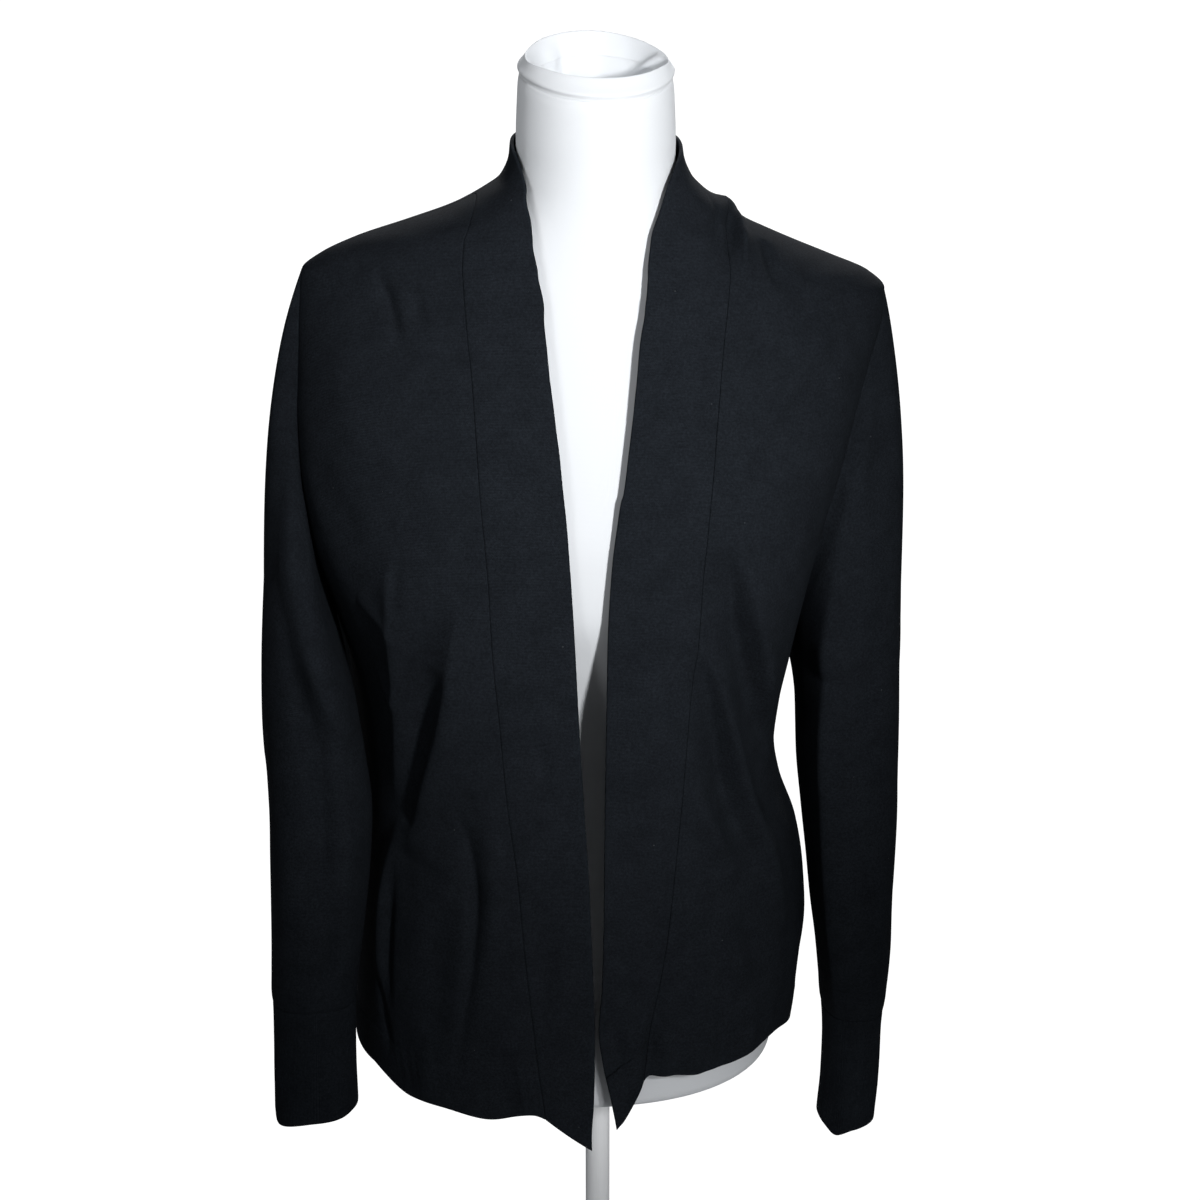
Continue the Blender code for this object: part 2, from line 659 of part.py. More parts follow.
def make_back(name):
    sides = (-1, 1)
    columns = BACK_COLUMNS
    rows = len(SKIRT_SHARES) + ARMHOLE_ROWS + SHOULDER_ROWS
    outer = np.zeros((rows, columns + 1, 3))
    normals = np.zeros_like(outer)

    def blend(j, left, right):
        return left + (right - left) * j / columns

    for i in range(len(SKIRT_SHARES) + ARMHOLE_ROWS):
        for j in range(columns + 1):
            if i < len(SKIRT_SHARES):
                angle = math.radians(blend(j, -90.0, -270.0))
                under = blend(j, ARMHOLES[-1]["under"], ARMHOLES[1]["under"])
                z = skirt_level(SKIRT_SHARES[i], angle, under)
            else:
                turn = math.pi * (1 - (i - len(SKIRT_SHARES) + 1) / ARMHOLE_ROWS)
                left, right = armhole(-1, turn), armhole(1, turn)
                a_left = -math.pi / 2 - left[1]
                a_right = -3 * math.pi / 2 + right[1]
                angle = blend(j, a_left, a_right)
                z = blend(j, left[2], right[2])
            outer[i, j] = body_point(angle, z)
            normals[i, j] = body_normal(angle, z)
    first = len(SKIRT_SHARES) + ARMHOLE_ROWS
    neck = {}
    for j in range(columns + 1):
        low = outer[first - 1, j]
        # the top edge: the shoulder seams and the back neck seam between the neck points
        u = 2 * j / columns - 1
        side = -1 if u < 0 else 1
        neck_share = 2 * NECK_ROWS / columns
        if abs(u) >= neck_share:
            share = (abs(u) - neck_share) / (1 - neck_share)
            z_top = shoulder_point(side, share, 1.0)
            angle_top = side * math.pi / 2
        else:
            t = abs(u) / neck_share
            z_top = BACK_NECK_Z + (NECK_POINT[side] - BACK_NECK_Z) * t * t
            angle_top = side * (math.pi - (math.pi / 2) * t)
        top = BODY.point(angle_top, z_top)
        for k in range(1, SHOULDER_ROWS + 1):
            rise = k / SHOULDER_ROWS
            i = first + k - 1
            z = low[2] + (z_top - low[2]) * (1 - (1 - rise) ** 1.6)
            x = low[0] + (top[0] - low[0]) * rise
            if k == SHOULDER_ROWS:
                angle = angle_top
            else:
                s = 1 if x >= 0 else -1
                share = min(abs(x) / BODY.half_width(s, z), 0.9995)
                angle = s * (math.pi - math.asin(share ** (BODY.power(z) / 2)))
            outer[i, j] = body_point(angle, z)
            normals[i, j] = body_normal(angle, z)
        neck[j] = (angle_top, z_top)
    edges = outer.copy()
    for side, column, inner in ((-1, 0, 1), (1, columns, columns - 1)):
        _, _, hole_seam = SEAMS[side]
        for i in range(first):
            if i < len(SKIRT_SHARES) - 1:
                edges[i, column] += SEAM_HALF_GAP * unit(outer[i, inner] - outer[i, column])
            else:
                k = ARMHOLE_ROWS - (i - len(SKIRT_SHARES) + 1)
                n, across = hole_seam[(SLEEVE_POINTS - k) % SLEEVE_POINTS]
                edges[i, column] = outer[i, column] + across * SEAM_HALF_GAP + (
                    0, SEAM_HALF_GAP if k in (0, ARMHOLE_ROWS) else 0, 0)
                normals[i, column] = n
        for i in range(first, rows):
            edges[i, column] = edges[first - 1, column]
            normals[i, column] = normals[first - 1, column]
    for j in range(1, columns):
        angle_top, z_top = neck[j]
        if abs(abs(angle_top) - math.pi / 2) < 1e-9:
            at_neck = abs(abs(2 * j / columns - 1) - 2 * NECK_ROWS / columns) < 1e-9
            away = math.copysign(4 * SEAM_HALF_GAP, angle_top) if at_neck else 0.0
            edges[-1, j] += (away, SEAM_HALF_GAP, 0)
            normals[-1, j] = unit(normals[-1, j] * (1, 0, 1))
        else:
            edges[-1, j] += SEAM_HALF_GAP * 1.3 * unit(outer[-2, j] - outer[-1, j])
    return wall(name, edges, normals, hem_thickness(rows, columns + 1), KNIT)


def band_lines(side):
    """The seam and the free edge of a band as (angle, z) pairs, from the hem to the centre back."""
    seam = front_seam_points(side)
    free = []
    last = FRONT_EDGES[-1][0]
    tip = ARMHOLES[side]["tip"]
    collar = COLLAR_EDGE[side]
    for i, (angle, z) in enumerate(seam):
        if z <= tip + 1e-9:
            if i < len(SKIRT_SHARES):
                z_free = z
                for _ in range(4):
                    a = BODY.angle_at(EDGE[side, "free"](z_free), z_free)
                    z_free = skirt_level(SKIRT_SHARES[i], a, ARMHOLES[side]["under"])
                free.append((a, z_free))
            else:
                free.append((BODY.angle_at(EDGE[side, "free"](z), z), z))
    start_angle, start_z = free[-1]
    path = [(abs(math.degrees(start_angle)), start_z)]
    if last > start_z + 0.008:
        path.append((abs(math.degrees(BODY.angle_at(EDGE[side, "free"](last), last))), last))
    path += collar
    steps = SHOULDER_ROWS + NECK_ROWS
    lengths = [0.0]
    for a, b in zip(path, path[1:]):
        p, q = BODY.point(math.radians(a[0]), a[1]), BODY.point(math.radians(b[0]), b[1])
        lengths.append(lengths[-1] + float(np.linalg.norm(q - p)))
    for k in range(1, steps + 1):
        at = lengths[-1] * (k / steps) ** 0.92
        a = float(np.interp(at, lengths, [p[0] for p in path]))
        z = float(np.interp(at, lengths, [p[1] for p in path]))
        free.append((side * math.radians(a), z))
    for k in range(1, NECK_ROWS + 1):
        t = 1 - k / NECK_ROWS
        seam.append((side * (math.pi - math.pi / 2 * t), BACK_NECK_Z + (NECK_POINT[side] - BACK_NECK_Z) * t * t))
    return seam, free


def make_band(side, name):
    seam, free = band_lines(side)
    outer, normals = [], []
    for (a0, z0), (a1, z1) in zip(seam, free):
        line, line_n = [], []
        for j in range(BAND_COLUMNS + 1):
            t = j / BAND_COLUMNS
            angle, z = a0 + (a1 - a0) * t, z0 + (z1 - z0) * t
            line.append(body_point(angle, z))
            line_n.append(body_normal(angle, z))
        outer.append(line)
        normals.append(line_n)
    outer, normals = np.array(outer), np.array(normals)
    edges = inset(outer, ("first",))
    edges[-1] += (side * SEAM_HALF_GAP, 0, 0)
    for j in range(BAND_COLUMNS + 1):
        normals[-1, j] = unit(normals[-1, j] * (0, 1, 1))
    return wall(name, edges, normals, np.full(outer.shape[:2], BAND_WALL), RIB)


def make_sleeve(side, name):
    grid, normals, hole_seam = SEAMS[side]
    outer = grid.copy()
    normals = normals.copy()
    for j in range(SLEEVE_POINTS):
        n, across = hole_seam[j]
        outer[0, j] = grid[0, j] - across * SEAM_HALF_GAP
        normals[0, j] = n
    outer[-1] += (0, 0, SEAM_HALF_GAP)
    return wall(name, outer, normals, np.full(outer.shape[:2], CLOTH), KNIT, closed=True)


def make_cuff(side, name):
    rows = CUFF_SECTIONS[side]
    table = sorted(rows)
    top, bottom = rows[0][0], rows[-1][0]
    points = []
    for k in range(5):
        z = top + (bottom - top) * k / 4
        points.append([sleeve_ring(table, z, j) for j in range(SLEEVE_POINTS)])
    outer = np.array(points)
    for j in range(SLEEVE_POINTS):  # the opening's edge dips on the outer and front side
        turn = 2 * math.pi * j / SLEEVE_POINTS
        outer[-1, j, 2] += -0.004 * math.cos(turn) * (1 if side < 0 else -1) - 0.003 * math.sin(turn)
    normals = grid_normals(outer, side)
    outer[0] -= (0, 0, SEAM_HALF_GAP)
    return wall(name, outer, normals, np.full(outer.shape[:2], CUFF_WALL), RIB, closed=True)


# ---------------------------------------------------------------- the dress form and its stand
def neck_cut(y):
    return NECK_TOP + NECK_SLANT * (y - SIDE_SEAM_Y)


def ring_faces(bm, rings, closed_top=False, closed_bottom=False):
    count = len(rings[0])
    verts = [[bm.verts.new(p) for p in ring] for ring in rings]
    for low, high in zip(verts, verts[1:]):
        for j in range(count):
            k = (j + 1) % count
            bm.faces.new((low[j], low[k], high[k], high[j]))
    if closed_bottom:
        bm.faces.new(list(reversed(verts[0])))
    if closed_top:
        bm.faces.new(verts[-1])
    return verts


def make_form(name):
    count = 40
    angles = [2 * math.pi * j / count for j in range(count)]
    rings = []
    round_edge = 0.010
    for k in range(5):  # rounded lower edge
        turn = math.pi / 2 * k / 4
        z = FORM_BOTTOM + round_edge * (1 - math.cos(turn))
        pull = round_edge * (1 - math.sin(turn))
        ring = []
        for a in angles:
            p = FORM.point(a, FORM_BOTTOM + round_edge)
            n = plain_normal(FORM, a, FORM_BOTTOM + round_edge)
            ring.append(np.array((p[0], p[1], z)) - unit(n * (1, 1, 0)) * pull)
        rings.append(ring)
    heights = [0.315, 0.345, 0.375, 0.405, 0.435, 0.465, 0.495, 0.52, 0.545, 0.57, 0.6, 0.63, 0.66, 0.69, 0.72, 0.75, 0.78, 0.805,
               0.825, 0.842, 0.856, 0.868, 0.878, 0.887, 0.895, 0.903, 0.911, 0.919, 0.928, 0.940, 0.957]
    for z in heights:
        rings.append([FORM.point(a, z) for a in angles])
    for share in (0.5, 1.0):
        ring = []
        for a in angles:
            p = FORM.point(a, 0.98)
            z = 0.957 + (neck_cut(p[1]) - 0.957) * share
            ring.append(np.array((p[0], p[1], z)))
        rings.append(ring)
    centre = np.array((0.0, (FORM.point(0, 0.98)[1] + FORM.point(math.pi, 0.98)[1]) / 2, 0.0))

    def well_ring(radius, depth):
        ring = []
        for a in angles:
            p = np.array((math.sin(a), -math.cos(a), 0.0)) * radius + centre
            ring.append(np.array((p[0], p[1], neck_cut(p[1]) - depth)))
        return ring

    rings.append(well_ring(NECK_WELL_RADIUS, 0.0))
    rings.append(well_ring(NECK_WELL_RADIUS, NECK_WELL_DEPTH * 0.8))
    rings.append(well_ring(NECK_WELL_RADIUS * 0.88, NECK_WELL_DEPTH))
    rings.append(well_ring(NECK_WELL_RADIUS * 0.45, NECK_WELL_DEPTH))
    bm = bmesh.new()
    ring_faces(bm, rings, closed_top=True, closed_bottom=True)
    bmesh.ops.triangulate(bm, faces=bm.faces)
    bmesh.ops.recalc_face_normals(bm, faces=bm.faces)
    return add_object(name, bm, JERSEY, sharp=50.0), centre


def make_rim(name, centre):
    """The rolled edge of the jersey on the neck's cut: a flattened roll that follows the slant."""
    count, around = 40, 12
    bm = bmesh.new()
    verts = []
    for i in range(count):
        a = 2 * math.pi * i / count
        out = np.array((math.sin(a), -math.cos(a), 0.0))
        middle = centre + out * (NECK_RADIUS - RIM_WALL / 2 - 0.0020)
        ring = []
        for k in range(around):
            turn = 2 * math.pi * k / around
            c, s = math.cos(turn), math.sin(turn)
            r = RIM_WALL / 2 * math.copysign(abs(c) ** 0.75, c)
            h = RIM_HEIGHT / 2 * math.copysign(abs(s) ** 0.75, s)
            p = middle + out * r
            p[2] = neck_cut(p[1]) + 0.0004 + RIM_HEIGHT / 2 + h
            ring.append(bm.verts.new(p))
        verts.append(ring)
    for i in range(count):
        for k in range(around):
            a, b = verts[i], verts[(i + 1) % count]
            m = (k + 1) % around
            bm.faces.new((a[k], b[k], b[m], a[m]))
    bmesh.ops.triangulate(bm, faces=bm.faces)
    bmesh.ops.recalc_face_normals(bm, faces=bm.faces)
    return add_object(name, bm, JERSEY, sharp=60.0)


def turned(name, profile, finish, steps=48, sharp=35.0):
    """A turned piece: its profile runs from the axis, down its outer side and back to the axis."""
    bm = bmesh.new()
    verts = [bm.verts.new((r, 0, z)) for r, z in profile]
    for a, b in zip(verts, verts[1:]):
        bm.edges.new((a, b))
    made = add_object(name, bm, finish, sharp)
    screw = made.modifiers.new("turn", "SCREW")
    screw.steps = screw.render_steps = steps
    screw.use_merge_vertices = True
    screw.merge_threshold = 0.00005
    screw.use_smooth_shade = True
    return made


make_back("back")
make_front(-1, "front_left")
make_front(1, "front_right")
make_band(-1, "band_left")
make_band(1, "band_right")
make_sleeve(-1, "sleeve_left")
make_sleeve(1, "sleeve_right")
make_cuff(-1, "cuff_left")
make_cuff(1, "cuff_right")
_, neck_centre = make_form("dress_form")
make_rim("neck_rim", neck_centre)

edge = 0.005
base_profile = [(0.0, BASE_HEIGHT), (BASE_RADIUS - edge, BASE_HEIGHT)]
for k in range(1, 4):
    turn = math.pi / 2 * k / 4
    base_profile.append((BASE_RADIUS - edge + edge * math.sin(turn), BASE_HEIGHT - edge + edge * math.cos(turn)))
base_profile += [(BASE_RADIUS, BASE_HEIGHT - edge), (BASE_RADIUS, 0.0015), (BASE_RADIUS - 0.0015, 0.0), (0.0, 0.0)]
turned("stand_base", base_profile, PAINT, steps=64)

post_low = BASE_HEIGHT + 0.0003
post_high = FORM_BOTTOM - COLLAR_HEIGHT - 0.0006
turned("stand_post", [
    (0.0, post_high), (POST_RADIUS, post_high), (POST_RADIUS, post_low + 0.014), (POST_RADIUS + 0.006, post_low + 0.010),
    (POST_RADIUS + 0.008, post_low), (0.0, post_low)], PAINT, steps=32)
collar_low = FORM_BOTTOM - 0.0003 - COLLAR_HEIGHT
turned("stand_collar", [
    (0.0, collar_low + COLLAR_HEIGHT), (COLLAR_RADIUS, collar_low + COLLAR_HEIGHT), (COLLAR_RADIUS, collar_low + 0.004),
    (COLLAR_RADIUS - 0.003, collar_low), (0.0, collar_low)], PAINT, steps=32)
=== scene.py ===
"""Looks of the open-front knitted cardigan on its dress form: cloth shells, knit, stitches, light and camera.

Metres, +Z up, the garment's front faces -Y. "left" and "right" are those of someone who looks at the front.
The cloth lies on the same body surface as its solids: the tables of sections below repeat theirs.
"""

import math

import bpy
import mathutils
import numpy as np
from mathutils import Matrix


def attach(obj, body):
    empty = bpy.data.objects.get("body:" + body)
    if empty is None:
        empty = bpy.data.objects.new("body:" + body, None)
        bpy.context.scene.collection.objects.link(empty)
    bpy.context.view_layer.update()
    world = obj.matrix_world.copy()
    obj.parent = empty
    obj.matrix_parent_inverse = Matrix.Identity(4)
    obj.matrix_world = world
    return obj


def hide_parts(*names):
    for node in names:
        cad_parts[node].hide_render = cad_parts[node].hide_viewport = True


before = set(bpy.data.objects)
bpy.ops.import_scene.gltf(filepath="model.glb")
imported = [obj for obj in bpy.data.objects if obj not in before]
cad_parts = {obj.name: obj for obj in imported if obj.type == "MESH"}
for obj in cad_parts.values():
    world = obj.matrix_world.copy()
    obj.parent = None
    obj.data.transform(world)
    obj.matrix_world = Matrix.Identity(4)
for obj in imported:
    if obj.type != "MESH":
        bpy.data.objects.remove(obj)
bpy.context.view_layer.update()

# == shapes
CLOTH = 0.0018  # thickness of the jersey shell
HEM_TURN = 0.030
HEM_CLOTH = 0.0026
BAND_CLOTH = 0.0026
CUFF_CLOTH = 0.0022
SEAM_HALF_GAP = 0.00017
SIDE_SEAM_Y = 0.008
HEM_LEVEL = 0.290

NECK_TOP = 1.009
NECK_SLANT = 0.225
FORM_BOTTOM = 0.271

# Sections of the garment's outer face. z: height. left, right: half widths. front, back: depths from
# the side seam line. power: squareness of the section (2 is an ellipse).
BODY_SECTIONS = [
    # z, left, right, front, back, power
    (0.240, 0.186, 0.144, 0.136, 0.108, 2.30),
    (0.280, 0.186, 0.147, 0.137, 0.109, 2.30),
    (0.340, 0.185, 0.154, 0.139, 0.110, 2.30),
    (0.380, 0.183, 0.157, 0.140, 0.108, 2.30),
    (0.420, 0.180, 0.153, 0.141, 0.103, 2.30),
    (0.465, 0.177, 0.145, 0.142, 0.095, 2.30),
    (0.505, 0.176, 0.133, 0.142, 0.088, 2.30),
    (0.530, 0.176, 0.130, 0.142, 0.085, 2.35),
    (0.565, 0.177, 0.133, 0.143, 0.085, 2.40),
    (0.600, 0.181, 0.139, 0.144, 0.088, 2.50),
    (0.650, 0.194, 0.149, 0.143, 0.093, 2.70),
    (0.700, 0.209, 0.161, 0.138, 0.097, 2.90),
    (0.740, 0.214, 0.173, 0.130, 0.099, 2.90),
    (0.780, 0.215, 0.185, 0.119, 0.099, 2.70),
    (0.815, 0.213, 0.198, 0.109, 0.096, 2.35),
    (0.840, 0.211, 0.207, 0.100, 0.092, 2.00),
    (0.856, 0.209, 0.208, 0.095, 0.088, 1.80),
    (0.868, 0.207, 0.196, 0.091, 0.085, 1.65),
    (0.880, 0.204, 0.168, 0.087, 0.082, 1.58),
    (0.890, 0.191, 0.144, 0.083, 0.079, 1.55),
    (0.900, 0.168, 0.122, 0.079, 0.075, 1.58),
    (0.910, 0.134, 0.102, 0.075, 0.071, 1.65),
    (0.920, 0.103, 0.089, 0.072, 0.067, 1.75),
    (0.930, 0.081, 0.075, 0.070, 0.062, 1.90),
    (0.940, 0.066, 0.0655, 0.069, 0.057, 2.00),
    (0.955, 0.0598, 0.0600, 0.068, 0.0540, 2.00),
    (0.975, 0.0590, 0.0590, 0.068, 0.0525, 2.00),
    (1.020, 0.0590, 0.0590, 0.068, 0.0525, 2.00),
]

FORM_SECTIONS = [
    (0.270, 0.134, 0.134, 0.117, 0.098, 2.20),
    (0.320, 0.139, 0.139, 0.120, 0.101, 2.20),
    (0.360, 0.143, 0.143, 0.119, 0.101, 2.20),
    (0.400, 0.141, 0.141, 0.116, 0.097, 2.20),
    (0.450, 0.132, 0.132, 0.108, 0.085, 2.20),
    (0.500, 0.122, 0.122, 0.101, 0.076, 2.20),
    (0.530, 0.120, 0.120, 0.099, 0.074, 2.20),
    (0.570, 0.123, 0.123, 0.103, 0.076, 2.25),
    (0.620, 0.131, 0.131, 0.120, 0.080, 2.30),
    (0.660, 0.138, 0.138, 0.131, 0.083, 2.35),
    (0.700, 0.145, 0.145, 0.129, 0.086, 2.40),
    (0.750, 0.154, 0.154, 0.116, 0.088, 2.40),
    (0.800, 0.162, 0.162, 0.101, 0.087, 2.20),
    (0.835, 0.166, 0.166, 0.089, 0.083, 1.95),
    (0.855, 0.163, 0.159, 0.083, 0.078, 1.80),
    (0.870, 0.160, 0.146, 0.079, 0.074, 1.65),
    (0.880, 0.147, 0.132, 0.076, 0.071, 1.58),
    (0.890, 0.128, 0.114, 0.073, 0.067, 1.58),
    (0.900, 0.105, 0.097, 0.070, 0.063, 1.65),
    (0.910, 0.084, 0.082, 0.067, 0.058, 1.78),
    (0.920, 0.069, 0.069, 0.065, 0.054, 1.90),
    (0.935, 0.0585, 0.0585, 0.0635, 0.0490, 2.00),
    (0.955, 0.0550, 0.0550, 0.0630, 0.0470, 2.00),
    (1.060, 0.0550, 0.0550, 0.0630, 0.0470, 2.00),
]

FRONT_EDGES = [
    # z, left free edge, left seam, right free edge, right seam
    (0.240, -0.0215, -0.0500, -0.0010, 0.0100),
    (0.260, -0.0220, -0.0540, -0.0030, 0.0120),
    (0.290, -0.0205, -0.0570, -0.0080, 0.0150),
    (0.320, -0.0200, -0.0610, -0.0140, 0.0180),
    (0.350, -0.0200, -0.0640, -0.0175, 0.0210),
    (0.380, -0.0210, -0.0670, -0.0155, 0.0260),
    (0.420, -0.0225, -0.0705, -0.0145, 0.0320),
    (0.470, -0.0245, -0.0740, -0.0140, 0.0365),
    (0.530, -0.0280, -0.0800, -0.0135, 0.0420),
    (0.590, -0.0315, -0.0840, -0.0130, 0.0470),
    (0.645, -0.0340, -0.0890, -0.0120, 0.0520),
    (0.700, -0.0365, -0.0920, -0.0080, 0.0560),
    (0.750, -0.0390, -0.0950, 0.0010, 0.0620),
    (0.790, -0.0420, -0.0960, 0.0080, 0.0670),
    (0.825, -0.0450, -0.0970, 0.0130, 0.0720),
    (0.855, -0.0470, -0.0985, 0.0175, 0.0775),
    (0.885, -0.0482, -0.0990, 0.0225, 0.0840),
    (0.905, -0.0487, -0.0965, 0.0270, 0.0885),
]
NECK_POINT = {-1: 0.9285, 1: 0.9180}
BACK_NECK_Z = 0.908
COLLAR_EDGE = {  # side angle from the front in degrees, height
    -1: [(31.5, 0.920), (47.5, 0.934), (64.0, 0.948), (82.0, 0.959), (105.0, 0.966), (135.0, 0.968), (160.0, 0.967), (180.0, 0.966)],
    1: [(22.0, 0.915), (30.5, 0.930), (41.0, 0.941), (55.0, 0.950), (76.0, 0.959), (100.0, 0.965), (135.0, 0.967), (160.0, 0.967), (180.0, 0.966)],
}
HEM_FRONT = [  # x, height of the hem's edge
    (-0.175, 0.292), (-0.150, 0.280), (-0.128, 0.279), (-0.098, 0.275), (-0.065, 0.281),
    (-0.050, 0.274), (-0.038, 0.262), (-0.022, 0.250), (-0.012, 0.250),
    (-0.010, 0.266), (-0.002, 0.266), (0.003, 0.288), (0.012, 0.300), (0.022, 0.308),
    (0.058, 0.306), (0.094, 0.307), (0.120, 0.313), (0.150, 0.296),
]
HEM_BACK = [(90.0, 0.296), (120.0, 0.288), (180.0, 0.284), (240.0, 0.286), (270.0, 0.292)]
ARMHOLES = {
    -1: dict(tip=0.880, under=0.640, front=12.0, back=14.0),
    1: dict(tip=0.856, under=0.610, front=19.0, back=16.0),
}
SLEEVE_SECTIONS = {  # height, centre x, centre y, half width, half depth, power
    -1: [
        (0.580, -0.2106, -0.0450, 0.0316, 0.0430, 2.2),
        (0.545, -0.2087, -0.0495, 0.0346, 0.0415, 2.2),
        (0.505, -0.2073, -0.0525, 0.0367, 0.0395, 2.2),
        (0.465, -0.2093, -0.0545, 0.0360, 0.0385, 2.2),
        (0.425, -0.2123, -0.0555, 0.0343, 0.0370, 2.2),
        (0.395, -0.2146, -0.0558, 0.0328, 0.0345, 2.3),
        (0.374, -0.2164, -0.0562, 0.0316, 0.0315, 2.4),
        (0.354, -0.2176, -0.0565, 0.0302, 0.0270, 2.5),
    ],
    1: [
        (0.550, 0.1830, -0.0200, 0.0365, 0.0450, 2.2),
        (0.510, 0.1840, -0.0220, 0.0358, 0.0435, 2.2),
        (0.470, 0.1865, -0.0240, 0.0340, 0.0420, 2.2),
        (0.430, 0.1885, -0.0260, 0.0315, 0.0410, 2.2),
        (0.390, 0.1905, -0.0275, 0.0295, 0.0395, 2.2),
        (0.355, 0.1930, -0.0290, 0.0272, 0.0375, 2.2),
        (0.328, 0.1940, -0.0298, 0.0250, 0.0345, 2.3),
        (0.303, 0.1945, -0.0305, 0.0226, 0.0300, 2.4),
    ],
}
CUFF_SECTIONS = {
    -1: [
        (0.353, -0.2176, -0.0565, 0.0300, 0.0262, 2.5),
        (0.322, -0.2182, -0.0567, 0.0300, 0.0235, 2.7),
        (0.291, -0.2192, -0.0570, 0.0304, 0.0220, 2.9),
        (0.263, -0.2202, -0.0572, 0.0308, 0.0215, 3.0),
    ],
    1: [
        (0.302, 0.1945, -0.0305, 0.0222, 0.0290, 2.4),
        (0.276, 0.1946, -0.0310, 0.0214, 0.0270, 2.5),
        (0.241, 0.1944, -0.0316, 0.0212, 0.0265, 2.6),
        (0.211, 0.1928, -0.0320, 0.0210, 0.0265, 2.6),
    ],
}

